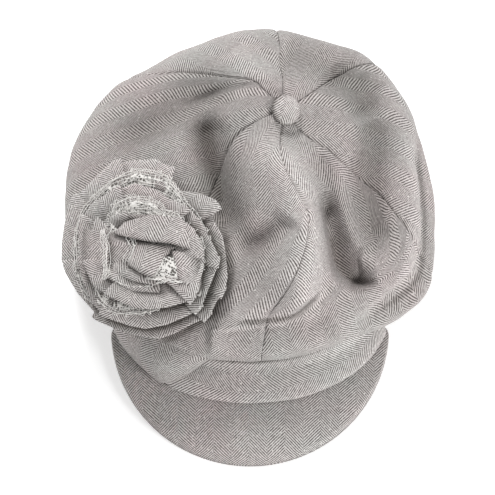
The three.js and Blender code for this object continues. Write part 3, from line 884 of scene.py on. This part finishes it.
def make_band(linen, looks):
    shares = np.linspace(0, 1, 25)
    fine_shares = np.linspace(0, 1, 76)

    def wrinkles(angle, share):
        bulge = np.sin(math.pi * share) ** 0.7
        over_visor = window(192, 200, 342, 350, angle)
        under_drape = window(196, 206, 226, 238, angle)
        surface = band_points(angle, share, 0 * angle)
        above = surface[..., 2] - visor_top_height(angle)
        rolled = window(0.3, 1.7, 2.0, 12.5, above)
        puff = (visor_edge_gap(surface) + PUFF_OVERLAP) * rolled * over_visor * (1 - 0.55 * under_drape)
        return (0.7 * band_noise(angle, share, 22, 5) + 0.35) * bulge + puff

    def gathers(angle, share):
        ends = smooth_step(2, 12, angle) * smooth_step(2, 12, 180 - angle)
        wave = np.sin(np.radians(angle) * BACK_GATHERS + 2.6 * band_noise(angle, share, 26, 6))
        edges = np.sin(math.pi * np.clip(share, 0.04, 0.96)) ** 0.5
        return (0.55 + 0.75 * wave) * ends * edges

    front = band_strip("front_band_cloth", np.linspace(180.2, 359.8, 190), fine_shares,
                       lambda a: 0 * a, BAND_CLOTH, wrinkles)
    finish_piece(front, None, "linen_herringbone", linen, "front_band")
    back = band_strip("back_band_cloth", np.linspace(0.2, 179.8, 320), shares,
                      lambda a: 0 * a, BAND_CLOTH, gathers)
    finish_piece(back, "crown", "linen_herringbone", linen, "back_band")
    elastic = band_strip("back_elastic_tape", np.linspace(*ELASTIC_ENDS, 120), np.linspace(0.12, 0.8, 12),
                         lambda a: ELASTIC_INSET + 0 * a, ELASTIC_CLOTH, lambda a, s: 0.1 * np.sin(s * 90))
    finish_piece(elastic, "crown", "elastic", looks["elastic"], "back_elastic")

    def sweat_inset(angle):
        back_share = smooth_step(-0.2, 0.2, np.sin(np.radians(angle)))
        return mix(SWEATBAND_INSETS[0], SWEATBAND_INSETS[1], back_share)

    all_round = np.linspace(0, 360, 240, endpoint=False)
    sweat = band_strip("sweatband_tape", all_round, np.linspace(0.05, 0.93, 16),
                       sweat_inset, 1.0, lambda a, s: 0 * a, loop=True)
    finish_piece(sweat, None, "sweatband_cotton", looks["sweatband_cotton"], "sweatband")


# ---- visor ----
VISOR_INNER = (99.6, 80.6, 0.0)
VISOR_OUTER = (100.0, 110.0, -15.5)
VISOR_END_ANGLE = 13  # degrees in front of the head's side at which its sewn edge ends
VISOR_END_LENGTH = 0.025
VISOR_ARCH = 10.0  # how much higher its sewn edge is in the middle than at its ends
VISOR_TOP_AT_END = 5.8
RIM_START = 0.9  # share of the visor's reach at which its cloth begins to turn over the rim
RIM_SHARE = 0.1
RIM_STEPS = 10
# The top cover's lip, turned down at the band: drop of its outer face, then reach and drop of its
# inner face.
TURNED_LIP = ((0.5, 0.024, 0.0), (1.6, 0.024, 0.5), (3.0, 0.024, 1.8))
COVER_CLOTH = 1.2
# Painted shade of the visor's covers: an even darkening, and darker towards the rim where the cloth turns
# over.
VISOR_SHADE_LEVEL = 0.14
VISOR_RIM_SHADE = 0.3
COVER_TOP_BASE = 3.6


def visor_points(along, reach, lift):
    inner_angle = np.radians(mix(-180 + VISOR_END_ANGLE, -VISOR_END_ANGLE, along))
    outer_angle = np.radians(mix(-180, 0, along))
    inner = ellipse_points(VISOR_INNER, inner_angle, 0)
    outer = ellipse_points(VISOR_OUTER, outer_angle, 0)
    from_end = np.clip(np.minimum(along, 1 - along) / VISOR_END_LENGTH, 0, 1)
    width = mix(0.08, 1, np.sin(from_end * math.pi / 2))
    arch = np.sin(math.pi * along) ** 1.5
    rise = mix(VISOR_ARCH, 2.5, reach) * arch
    camber = 2 * arch * 4 * reach * (1 - reach)
    points = mix(inner, outer, (reach * width)[..., None])
    points[..., 2] = 0.9 + rise + camber + lift
    return points


def make_visor(linen):
    along = np.linspace(0, 1, 161)[:, None]
    over_rim = RIM_START + RIM_SHARE * np.sin(np.linspace(0, math.pi / 2, RIM_STEPS)[1:])
    reach = np.concatenate([[0.0, 0.03], np.linspace(0.06, RIM_START, 26), over_rim])[None, :]
    edge = np.sqrt(np.clip(1 - ((reach - RIM_START) / RIM_SHARE).clip(0, 1) ** 2, 0, 1))
    wide = np.minimum(1, np.minimum(along, 1 - along) / 0.03)
    ripple = 0.25 * np.sin(along * 40 + 1.5) * np.sin(math.pi * reach)

    def cover(name, outer_lift, inner_lift, node, lip=()):
        outer = visor_points(along + 0 * reach, reach + 0 * along, outer_lift)
        inner = visor_points(along + 0 * reach, reach + 0 * along, inner_lift)
        for out_drop, in_reach, in_drop in lip:
            low_outer = visor_points(along, 0 * along, outer_lift[:, :1] - out_drop)
            low_inner = visor_points(along, 0 * along + in_reach, inner_lift[:, :1] - in_drop)
            outer = np.concatenate([low_outer, outer], 1)
            inner = np.concatenate([low_inner, inner], 1)
        over_edge = unit(outer[..., :2] - inner[:, :1, :2] * 0.5)
        low = np.linalg.norm(np.diff(outer[..., 2:], axis=1, prepend=outer[:, :1, 2:]), axis=-1)
        past_rim = np.cumsum(low * (np.arange(low.shape[1]) > low.shape[1] - RIM_STEPS), axis=1)
        made = slab_object(name, outer, inner, outer[..., :2] + over_edge * past_rim[..., None])
        # Painted shade, darker over the last rows at the rim.
        near_rim = smooth_step(-5, -1, np.arange(outer.shape[1]) - outer.shape[1])[None, :]
        set_painted_shade(made, 0 * outer[..., 0] + VISOR_SHADE_LEVEL + VISOR_RIM_SHADE * near_rim)
        finish_piece(made, "visor", "linen_herringbone", linen, node)

    fall = (1 - edge) * wide
    top_outer = COVER_TOP_BASE + COVER_CLOTH + ripple * edge - 2.1 * fall
    top_inner = COVER_TOP_BASE + ripple * edge - 2.25 * fall
    cover("visor_top_cloth", top_outer, top_inner, "visor_top_cover", TURNED_LIP)
    under_outer = 0 * reach + 0 * along + 0.25 * fall
    cover("visor_under_cloth", under_outer, under_outer + COVER_CLOTH - 0.2 * fall, "visor_under_cover")


# ---- button ----
BUTTON_STAND = 2.6


def make_button(linen):
    normal = unit(np.array([0.6, -0.3, 1.0]))
    across = unit(np.cross([0, 1, 0], normal))
    along = np.cross(normal, across)
    profile = [(0.02, 6.8), (2.5, 6.7), (5.0, 6.2), (7.4, 5.25), (9.3, 3.9), (10.7, 2.35), (11.4, 1.0),
               (11.2, 0.15), (10.6, -0.1), (9.9, 0.0)]
    inside = [(0.02, 6.0), (2.5, 5.9), (4.8, 5.4), (7.0, 4.5), (8.8, 3.2), (10.0, 1.9), (10.6, 0.95),
              (10.5, 0.8), (10.2, 0.75), (9.9, 0.8)]
    turn = np.linspace(0, 2 * math.pi, 96, endpoint=False)[:, None]

    def turned(shape, pleat):
        shape = spline(shape, 34)
        radius = shape[None, :, 0]
        height = shape[None, :, 1]
        tuck = pleat * smooth_step(8.5, 11.4, radius) * np.sin(turn * 15 + 1.3 * np.sin(turn * 4))
        radius = radius * (1 + 0.02 * tuck)
        side = (np.cos(turn) * radius)[..., None] * across + (np.sin(turn) * radius)[..., None] * along
        return APEX + normal * BUTTON_STAND + side + (height + 0 * turn)[..., None] * normal, radius

    outer, radius = turned(profile, 1.0)
    inner, _ = turned(inside, 0.3)
    uv = np.stack([np.cos(turn) * radius * 1.1 + 5, np.sin(turn) * radius * 1.1], -1)
    made = slab_object("button_cover_cloth", outer, inner, uv, loop=True)
    # Painted shade at the button's rim, where the cloth turns under.
    set_painted_shade(made, 0.05 + 0.7 * smooth_step(9.5, 11.4, radius + 0 * turn))
    finish_piece(made, "crown", "linen_herringbone", linen, "button_cover")


# ---- rosette ----
ROSETTE_CENTRE = np.array([-75.0, 6.5])
UPHILL_BEND = 0.002
DOWNHILL_BEND = 0.0052


def crown_top_height(x, y):
    rim_x, rim_y = RIM_RADII
    from_x = APEX[0] / rim_x
    from_y = (APEX[1] - RIM_CENTRE_Y) / rim_y
    to_x = (x - APEX[0]) / rim_x
    to_y = (y - APEX[1]) / rim_y
    a = to_x * to_x + to_y * to_y
    b = from_x * to_x + from_y * to_y
    c = from_x * from_x + from_y * from_y - 1
    share = a / (math.sqrt(b * b - a * c) - b)
    rim_z = RIM_HEIGHT - BACK_SAG * (0.5 + 0.5 * (from_y + to_y / share))
    return mix(rim_z, APEX[2], math.sqrt(1 - share * share)) + tilt_height(x, y)


def rosette_frame():
    x, y = ROSETTE_CENTRE
    span = 20
    slope_x = (crown_top_height(x + span, y) - crown_top_height(x - span, y)) / (2 * span)
    slope_y = (crown_top_height(x, y + span) - crown_top_height(x, y - span)) / (2 * span)
    normal = unit(np.array([-slope_x, -slope_y, 1.0]))
    across = unit(np.array([1.0, 0.0, slope_x]))
    along = np.cross(normal, across)
    downhill = math.atan2(-along[2], -across[2])
    centre = np.array([x, y, crown_top_height(x, y)])
    return centre, normal, across, along, downhill


ROSETTE_FRAME = rosette_frame()


def rosette_points(a, b, height):
    """Points of the rosette from its own two flat axes and height; its base bends downhill."""
    centre, normal, across, along, downhill = ROSETTE_FRAME
    radius = np.hypot(a, b)
    bend = mix(UPHILL_BEND, DOWNHILL_BEND, 0.5 + 0.5 * np.cos(np.arctan2(b, a) - downhill))
    rise = height - 0.5 * bend * radius * radius
    return centre + a[..., None] * across + b[..., None] * along + rise[..., None] * normal


# Each ruffle: corners of its free edge as (degrees, radius), and the corners where it is pleated.
RUFFLES = [
    {
        "name": "rosette_ruffle_outer", "root": 36, "heights": (3.6, 6.0), "curl": 1.0, "cut": (25, 600),
        "corners": [(106, 74), (91, 71), (77, 71), (72, 67), (66, 60), (54, 54), (42, 60), (31, 66),
                    (22, 57), (7, 60), (-4, 61), (-20, 65), (-27, 66), (-37, 64), (-45, 66), (-58, 61),
                    (-73, 60), (-84, 60), (-102, 56), (-117, 55), (-131, 56), (-140, 53), (-159, 55),
                    (-178, 60), (-186, 63), (-197, 64), (-221, 71), (-238, 70)],
        "pleats": [0, 3, 7, 12, 14, 20, 23, 26],
    },
    {
        "name": "rosette_ruffle_second", "root": 25, "heights": (6.6, 13.0), "curl": 1.3, "cut": (25, 470),
        "corners": [(109, 52), (90, 52), (71, 48), (56, 45), (41, 48), (23, 50), (5, 53), (-9, 59),
                    (-20, 57), (-45, 60), (-58, 56), (-74, 54), (-91, 53), (-104, 51), (-125, 51),
                    (-143, 49), (-161, 46), (-179, 46), (-201, 48), (-214, 53), (-230, 54)],
        "pleats": [0, 4, 7, 9, 14, 17, 19],
    },
    {
        "name": "rosette_ruffle_third", "root": 15, "heights": (9.6, 18.2), "curl": 1.5, "cut": (22, 360),
        "corners": [(107, 31), (66, 29), (45, 33), (30, 40), (16, 45), (-4, 49), (-21, 50), (-42, 54),
                    (-65, 45), (-84, 41), (-98, 39), (-129, 37), (-153, 40), (-173, 40), (-197, 37),
                    (-220, 40), (-238, 34)],
        "pleats": [0, 5, 7, 11, 13, 15],
    },
]
# The patch of gauze between the middle petals: its free and tucked edges, as for a petal.
LACE_PATCH = {
    "free": [(8, -20, 20.6), (22, -22, 20.4), (33, -25, 20.0)],
    "tucked": [(20, -6, 21.4), (24, -6, 21.4), (29, -6, 21.0)],
}
# Frayed edges of the petals and of the patch, where loose threads stand out.
FRINGES = [
    LACE_PATCH["free"],
    [(15, -13, 21.2), (12, -17, 21.0), (8, -20, 20.6)],
    [(-24, 20, 20.8), (-21, 5, 21.4), (-23, -12, 20.8), (-26, -16, 20.4)],
    [(-3, 14, 20.2), (-2, 4, 20.2), (-7, -6, 20.0)],
]
# Each gauze strip: its frayed edge as (degrees, radius) knots.
GAUZES = [
    {"name": "rosette_gauze_outer", "root": 33, "heights": (5.6, 10.4), "seed": 3,
     "cut": (20, 300), "on": "rosette_ruffle_outer_cloth",
     "edge": [(110, 61), (90, 63), (70, 60), (55, 54), (40, 49), (15, 50), (-20, 54), (-60, 50),
              (-100, 47), (-125, 48), (-145, 50), (-170, 51), (-190, 51), (-215, 56), (-235, 58)]},
    {"name": "rosette_gauze_middle", "root": 22, "heights": (8.6, 16.2), "seed": 4,
     "cut": (18, 200), "on": "rosette_ruffle_second_cloth",
     "edge": [(110, 33), (60, 33), (30, 40), (10, 46), (-10, 49), (-40, 47), (-70, 42), (-98, 43),
              (-120, 45), (-142, 44), (-158, 36), (-200, 34), (-230, 33)]},
    {"name": "rosette_gauze_inner", "root": 12, "heights": (12.0, 18.6), "seed": 5,
     "cut": (14, 190), "on": "rosette_ruffle_third_cloth", "patch": LACE_PATCH, "fringes": FRINGES,
     "edge": [(110, 41), (86, 42), (65, 40), (50, 37), (36, 40), (20, 36), (0, 33), (-30, 37),
              (-60, 27), (-90, 24), (-130, 24), (-180, 24), (-225, 28)]},
]
PLEAT_OVERLAP = 7.0  # degrees by which a pleat's top layer laps over the next stretch
PLEAT_RISE = 4.2
PLEAT_SWELL = 1.2  # how much farther out a pleat's top layer ends than its bottom layer
# The doubled end of a pleat, as shares of its overlap and of its rise.
PLEAT_END = ((0.4, 1.0), (0.8, 1.0), (0.97, 0.93), (1.0, 0.8), (0.97, 0.66), (0.8, 0.58), (0.4, 0.5),
             (0.0, 0.42), (-0.1, 0.32), (-0.12, 0.2), (-0.1, 0.08), (-0.04, 0.0))
ROSETTE_CLOTH = 0.9
RUFFLE_STEP = 1.6  # degrees between a ruffle's columns


def polar_point(degrees, radius):
    turn = math.radians(degrees)
    return np.array([math.cos(turn), math.sin(turn)]) * radius


def ruffle_path(corners, pleats):
    """Steps along a ruffle: angle, free edge's radius and the pleat's height, as three arrays."""
    steps = []
    count = len(corners)
    started = 0.0
    for i, (here, radius) in enumerate(corners):
        there, end_radius = corners[(i + 1) % count]
        if i == count - 1:
            there -= 360
        if i in pleats:
            started = here
        next_pleat = next(k for k in range(i + 1, i + count + 1) if k % count in pleats)
        finish = corners[next_pleat % count][0] - 360 * (next_pleat // count)
        stretch_count = max(3, int(abs(there - here) / RUFFLE_STEP))
        for share in np.arange(stretch_count) / stretch_count:
            edge = mix(polar_point(here, radius), polar_point(there, end_radius), share)
            angle = mix(here, there, share)
            stretch = (started - angle) / max(1e-6, started - finish)
            if i < min(pleats):
                stretch = 0.5
            steps.append((angle, np.hypot(*edge), PLEAT_RISE * np.clip(stretch, 0, 1)))
        if (i + 1) % count in pleats:
            for over, lift in PLEAT_END:
                angle = there - PLEAT_OVERLAP * over
                steps.append((angle, end_radius + PLEAT_SWELL * (lift - 0.5), PLEAT_RISE * lift))
    return np.array(steps).T


def edge_radius(knots, angle):
    """Radius of a ruffle's or gauze's free edge, given as (degrees, radius) knots, at an angle."""
    degrees = [knot[0] for knot in knots][::-1]
    radii = [knot[1] for knot in knots][::-1]
    return np.interp(np.degrees(angle), degrees, radii, period=360)


def cloth_slab(name, middle, normals, cloth, uv, loop=False):
    """A slab of cloth with the given thickness about its middle face."""
    return slab_object(name, moved(middle, normals, cloth / 2), moved(middle, normals, -cloth / 2), uv, loop)


def make_ruffle(spec, above, linen):
    angles, radii, lifts = ruffle_path(spec["corners"], spec["pleats"])
    turn = np.radians(angles)[:, None]
    across = np.linspace(0, 1, 15)[None, :]
    radius = mix(spec["root"], radii[:, None], across)
    height = mix(spec["heights"][0], spec["heights"][1], across**0.85)
    height = height + lifts[:, None] * smooth_step(0.0, 0.55, across)
    height = height - spec["curl"] * smooth_step(0.8, 1.0, across)
    a = np.cos(turn) * radius
    b = np.sin(turn) * radius
    middle = rosette_points(a, b, height)
    middle = moved(middle, ROSETTE_FRAME[1], 0.5 * noise_field(middle, 14, spec["root"]) * across)
    walked = lengths_along(middle, 0)[:, -1:] + 0 * across
    uv = np.stack([walked, radius], -1)
    normals = grid_normals(middle, loop=True)
    made = cloth_slab(f"{spec['name']}_cloth", middle, normals, ROSETTE_CLOTH, uv, loop=True)
    from_above = radius - edge_radius(above, turn + 0 * radius)
    under_pleat = 0.85 * np.exp(-lifts[:, None] / PLEAT_RISE / 0.07) * smooth_step(0.1, 0.5, across)
    shade = np.maximum(0.04 + 0.96 * np.exp(-np.clip(from_above, 0, 99) / 3.2), under_pleat)
    set_painted_shade(made, np.maximum(shade, under_edges(a, b, height)))
    finish_piece(made, "crown", "linen_herringbone", linen, spec["name"])


PETAL_SEED = 30
EDGE_SHADE_REACH = 2.4  # how far the shade beside a petal's free edge spreads

# Inside this edge, given as a ruffle's corners, the third ruffle lies in the petals' shade.
PETALS_EDGE = [(90, 24), (0, 24), (-90, 24), (-180, 24)]

# Petals folded over the middle. Each lies between a free edge and a tucked edge, whose points are
# (across, along, height) in the rosette's frame.
INNER_PETALS = [
    {"free": [(-16, 16, 21.0), (5, 8, 23.4), (26, 3, 23.4), (43, -4, 20.6)], "tuck_shade": 0.1,
     "tucked": [(-8, 23, 20.6), (11, 25, 21.6), (34, 21, 20.4), (43, 11, 18.6)]},
    {"free": [(-13, 17, 18.4), (-1, 6, 18.6), (-3, -10, 18.6)],
     "tucked": [(-33, 27, 15.5), (-37, 10, 16.0), (-38, -6, 15.5)]},
    {"free": [(-22, 18, 19.6), (-20, 6, 20.2), (-22, -8, 19.8)],
     "tucked": [(-40, 24, 16.5), (-42, 10, 16.5), (-42, -6, 16.5)]},
    {"free": [(-7, -8, 22.0), (2, -15, 23.4), (10, -20, 23.6)],
     "tucked": [(0, 8, 19.5), (14, 5, 20.2), (28, 1, 19.4)]},
    {"free": [(26, -2, 21.0), (29, -22, 21.6), (40, -35, 19.5)],
     "tucked": [(44, -4, 18.6), (45, -20, 18.0), (43, -37, 17.0)]},
    {"free": [(-23, -9, 19.0), (-6, -19, 20.4), (3, -22, 20.2), (12, -25, 19.4)],
     "tucked": [(-14, -2, 18.6), (-4, -8, 18.8), (6, -12, 18.8), (14, -16, 18.4)]},
    {"free": [(-39, -8, 18.0), (-22, -16, 19.6), (-8, -26, 19.0), (14, -30, 18.8)],
     "tucked": [(-30, 6, 15.5), (-16, -4, 16.6), (-4, -12, 16.6), (14, -18, 16.6)]},
    {"free": [(12, -14, 20.2), (18, -22, 20.0), (28, -31, 19.6)],
     "tucked": [(22, -4, 18.8), (27, -12, 18.6), (33, -26, 18.2)]},
]


def folded_line(points, count):
    """Points along a line of straight stretches with barely rounded corners."""
    knots = np.array(points, float)
    where = np.linspace(0, len(knots) - 1, count)
    straight = np.stack([np.interp(where, np.arange(len(knots)), knots[:, k]) for k in range(3)], -1)
    return mix(straight, spline(points, count), 0.3)


def under_edges(a, b, height):
    """Shade of cloth close beside and under the free edges of the petals that lie over it."""
    shade = np.zeros(np.broadcast_shapes(a.shape, b.shape))
    for petal in INNER_PETALS:
        for x, y, z in folded_line(petal["free"], 40):
            over = smooth_step(0.4, 1.6, z - height)
            shade = np.maximum(shade, over * np.exp(-np.hypot(a - x, b - y) / EDGE_SHADE_REACH))
    return shade


def petal_object(name, petal, cloth, seed):
    """One folded patch of cloth between two edges, with a soft belly and a turned free edge."""
    free = folded_line(petal["free"], 19)[:, None, :]
    tucked = folded_line(petal["tucked"], 19)[:, None, :]
    s = np.linspace(0, 1, 19)[:, None]
    t = np.linspace(0, 1, 13)[None, :]
    flat = mix(free, tucked, t[..., None])
    belly = np.sin(math.pi * s) * np.sin(math.pi * t)
    lip = 1 - smooth_step(0, 0.16, np.minimum(t, np.minimum(s, 1 - s) * 1.5))
    height = flat[..., 2] + 0.7 * belly - 1.2 * lip
    middle = rosette_points(flat[..., 0], flat[..., 1], height)
    middle = moved(middle, ROSETTE_FRAME[1], 0.5 * noise_field(middle, 9, seed))
    uv = np.stack([lengths_along(middle, 0), lengths_along(middle, 1)], -1)
    made = cloth_slab(name, middle, grid_normals(middle), cloth, uv)
    # Painted shade towards the tucked edge and beside the free edges that lie over it.
    painted_shade = 0.04 + petal.get("tuck_shade", 0.6) * smooth_step(0.55, 1.0, t) + 0 * s
    painted_shade = np.maximum(painted_shade, under_edges(flat[..., 0], flat[..., 1], height))
    set_painted_shade(made, painted_shade)
    return made


def join_objects(objects, name):
    bpy.ops.object.select_all(action="DESELECT")
    for o in objects:
        o.select_set(True)
    bpy.context.view_layer.objects.active = objects[0]
    bpy.ops.object.join()
    objects[0].name = name
    objects[0].data.name = name
    return objects[0]


def make_inner_petals(linen):
    patches = []
    for i, petal in enumerate(INNER_PETALS):
        patches.append(petal_object(f"petal_{i}", petal, ROSETTE_CLOTH, PETAL_SEED + i))
    made = join_objects(patches, "rosette_petals_inner")
    finish_piece(made, "crown", "linen_herringbone", linen, "rosette_ruffle_inner", "rosette_center_fold")


THREAD_UV = (0.13, 0.21)  # the one point of the weave that colours a whole thread


def thread_rings(points, width):
    """Vertices of a three-sided thread along the points."""
    tangent = unit(np.gradient(points, axis=0))
    side = unit(np.cross(tangent, UP + 0.01))
    other = np.cross(tangent, side)
    turns = np.arange(3) * 2 * math.pi / 3
    around = np.cos(turns)[None, :, None] * side[:, None] + np.sin(turns)[None, :, None] * other[:, None]
    return (points[:, None] + around * width / 2).reshape(-1, 3)


def thread_faces(count):
    """Faces of a closed thread of count rings, whose vertices start at 0."""
    faces = []
    for i in range(count - 1):
        for k in range(3):
            m = (k + 1) % 3
            faces.append((i * 3 + k, i * 3 + m, (i + 1) * 3 + m, (i + 1) * 3 + k))
    last = (count - 1) * 3
    return faces + [(2, 1, 0), (last, last + 1, last + 2)]


def threads_object(name, lines, widths):
    """One object of many separate threads, each a closed mesh."""
    vertices = []
    faces = []
    total = 0
    for line, width in zip(lines, widths):
        vertices.append(thread_rings(line, width))
        faces += [tuple(total + k for k in face) for face in thread_faces(len(line))]
        total += len(line) * 3
    return mesh_object(name, np.concatenate(vertices) * MM, faces, np.tile(THREAD_UV, (total, 1)))


def gauze_line(spec, angle, radius, extra):
    """Points of a thread of the net, from its angles, radii and extra height."""
    edge = edge_radius(spec["edge"], angle)
    share = (radius - spec["root"]) / (edge - spec["root"])
    height = mix(spec["heights"][0], spec["heights"][1], share) + extra
    return rosette_points(np.cos(angle) * radius, np.sin(angle) * radius, height)


def fringe_threads(points, rng):
    """Loose threads wandering along a frayed edge."""
    lines = []
    for _ in range(6):
        count = 26
        edge = folded_line(points, count)
        wander = np.cumsum(rng.normal(0, 0.45, (count, 2)), axis=0)
        wander -= np.linspace(0, 1, count)[:, None] * wander[-1]
        across = edge[:, 0] + wander[:, 0] + rng.normal(0, 1.1)
        along = edge[:, 1] + wander[:, 1]
        lines.append(rosette_points(across, along, edge[:, 2] + 0.5 + rng.normal(0, 0.15, count)))
    return lines


NET_RADIAL_STEP = 0.036  # radians between the threads that run out to the frayed edge
NET_RINGS = (0.45, 0.55, 0.64, 0.72, 0.79, 0.85, 0.9, 0.95, 0.99)
CURLED_THREADS = 70
GAUZE_CLOTH = 0.4
PATCH_SEED = 60


def net_threads(spec, rng):
    """Pale threads of a gauze strip's net and of its frayed edge, and each thread's width."""
    lines = []
    widths = []
    for angle in np.arange(0, 2 * math.pi, NET_RADIAL_STEP):
        start = angle + rng.normal(0, 0.012)
        reach = float(edge_radius(spec["edge"], start))
        low = mix(spec["root"], reach, rng.uniform(0.2, 0.4))
        high = reach + rng.normal(-1.0, 1.6)
        sway = np.cumsum(rng.normal(0, 0.006, 8))
        radius = mix(low, high, np.linspace(0, 1, 8))
        lines.append(gauze_line(spec, start + sway, radius, rng.normal(0.2, 0.25, 8)))
        widths.append(rng.uniform(0.35, 0.6))
    for share in NET_RINGS:
        angle = 0.0
        while angle < 2 * math.pi:
            span = rng.uniform(0.3, 1.0)
            steps = angle + np.linspace(0, span, max(6, int(span / 0.05)))
            wobble = np.cumsum(rng.normal(0, 0.35, len(steps)))
            wobble -= np.linspace(0, wobble[-1], len(steps))
            radius = mix(spec["root"], edge_radius(spec["edge"], steps), share) + wobble
            lines.append(gauze_line(spec, steps, radius, rng.normal(0.3, 0.25, len(steps))))
            widths.append(rng.uniform(0.4, 0.75))
            angle += span * rng.uniform(0.9, 1.15)
    for _ in range(CURLED_THREADS):
        angle = rng.uniform(0, 2 * math.pi)
        curl = np.linspace(0, rng.uniform(1.5, 4.5), 9)
        size = rng.uniform(0.8, 2.2)
        radius = float(edge_radius(spec["edge"], angle)) + size * np.sin(curl) - 0.5
        swing = angle + size * (1 - np.cos(curl)) / 50
        lines.append(gauze_line(spec, swing, radius, 0.5 + 0.5 * curl / 4))
        widths.append(0.4)
    for frayed in spec.get("fringes", []):
        fringe = fringe_threads(frayed, rng)
        lines += fringe
        widths += [0.45] * len(fringe)
    return lines, widths


def make_gauze(spec, look, thread_look):
    """A thin strip of open cloth under a net of its own pale threads, frayed at the free edge."""
    turn = np.linspace(0, 2 * math.pi, 300, endpoint=False)[:, None]
    across = np.linspace(0, 1, 10)[None, :]
    notches = 0.8 * np.sin(turn * 23) * np.sin(turn * 9 + spec["seed"])
    radius = mix(spec["root"], edge_radius(spec["edge"], turn) - 3.5 + notches, across)
    rise = mix(spec["heights"][0], spec["heights"][1], across) - 0.7 + 0.3 * np.sin(turn * 17) * across
    middle = rosette_points(np.cos(turn) * radius, np.sin(turn) * radius, rise)
    uv = np.stack([turn * 50 + 0 * across, radius], -1)
    name = f"{spec['name']}_strip"
    patches = [cloth_slab(name, middle, grid_normals(middle, loop=True), GAUZE_CLOTH, uv, loop=True)]
    if "patch" in spec:
        patches.append(petal_object("patch", spec["patch"], GAUZE_CLOTH, PATCH_SEED))
    strip = join_objects(patches, name)
    finish_piece(strip, "crown", "gauze", look, spec["name"])
    net = threads_object(f"{spec['name']}_threads", *net_threads(spec, np.random.default_rng(spec["seed"])))
    finish_piece(net, "crown", "gauze", thread_look)


# ---- the cap ----
# Shapes kept from the CAD model, and their material: its name, roughness, sheen, metal, the grain's
# scale and detail, the relief's distance in metres and strength, and two colours.
CARRIED_OVER = [
    (["rosette_backing"], ("felt", 0.95, 0.4, 0.0, (900, 4.0), (0.0004, 1.0),
                           (0.13, 0.12, 0.11, 1), (0.26, 0.24, 0.23, 1))),
    (["visor_board"], ("visor_plastic", 0.45, 0.0, 0.0, (400, 2.0), (0.0001, 0.4),
                       (0.74, 0.73, 0.70, 1), (0.82, 0.81, 0.78, 1))),
    (["button_shell", "button_back_plate"], ("button_metal", 0.35, 0.0, 1.0, (1500, 2.0), (0.00005, 0.5),
                                             (0.60, 0.60, 0.62, 1), (0.74, 0.74, 0.76, 1))),
]
LINEN_COLOURS = ((0.105, 0.090, 0.086, 1), (0.80, 0.765, 0.76, 1))
# Plain cloths: two colours, a thread's width in millimetres, roughness, sheen and rib.
PLAIN_CLOTHS = {
    "elastic": ((0.62, 0.60, 0.56, 1), (0.80, 0.78, 0.74, 1), 0.8, 0.7, 0.1, 0.8),
    "sweatband_cotton": ((0.38, 0.35, 0.32, 1), (0.52, 0.49, 0.46, 1), 0.6, 0.8, 0.1, 0.0),
    "lining_cloth": ((0.22, 0.20, 0.19, 1), (0.30, 0.28, 0.26, 1), 0.4, 0.6, 0.2, 0.0),
    "gauze_thread": ((0.90, 0.88, 0.85, 1), (0.97, 0.95, 0.92, 1), 0.3, 0.95, 0.2, 0.0),
}
make_camera()
make_sky()
make_lights()
make_floor()
linen = herringbone_material("linen_herringbone", *LINEN_COLOURS)
looks = {name: plain_weave_material(name, *values) for name, values in PLAIN_CLOTHS.items()}
net_look = gauze_material()
make_crown(linen, looks["lining_cloth"])
make_band(linen, looks)
make_visor(linen)
make_button(linen)
edges_above = [ruffle["corners"] for ruffle in RUFFLES[1:]] + [PETALS_EDGE]
for ruffle, above in zip(RUFFLES, edges_above):
    make_ruffle(ruffle, above, linen)
make_inner_petals(linen)
for gauze in GAUZES:
    make_gauze(gauze, net_look, looks["gauze_thread"])
for node_names, surface in CARRIED_OVER:
    look = grainy_material(*surface)
    for node_name in node_names:
        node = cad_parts[node_name]
        node.data.materials.clear()
        node.data.materials.append(look)
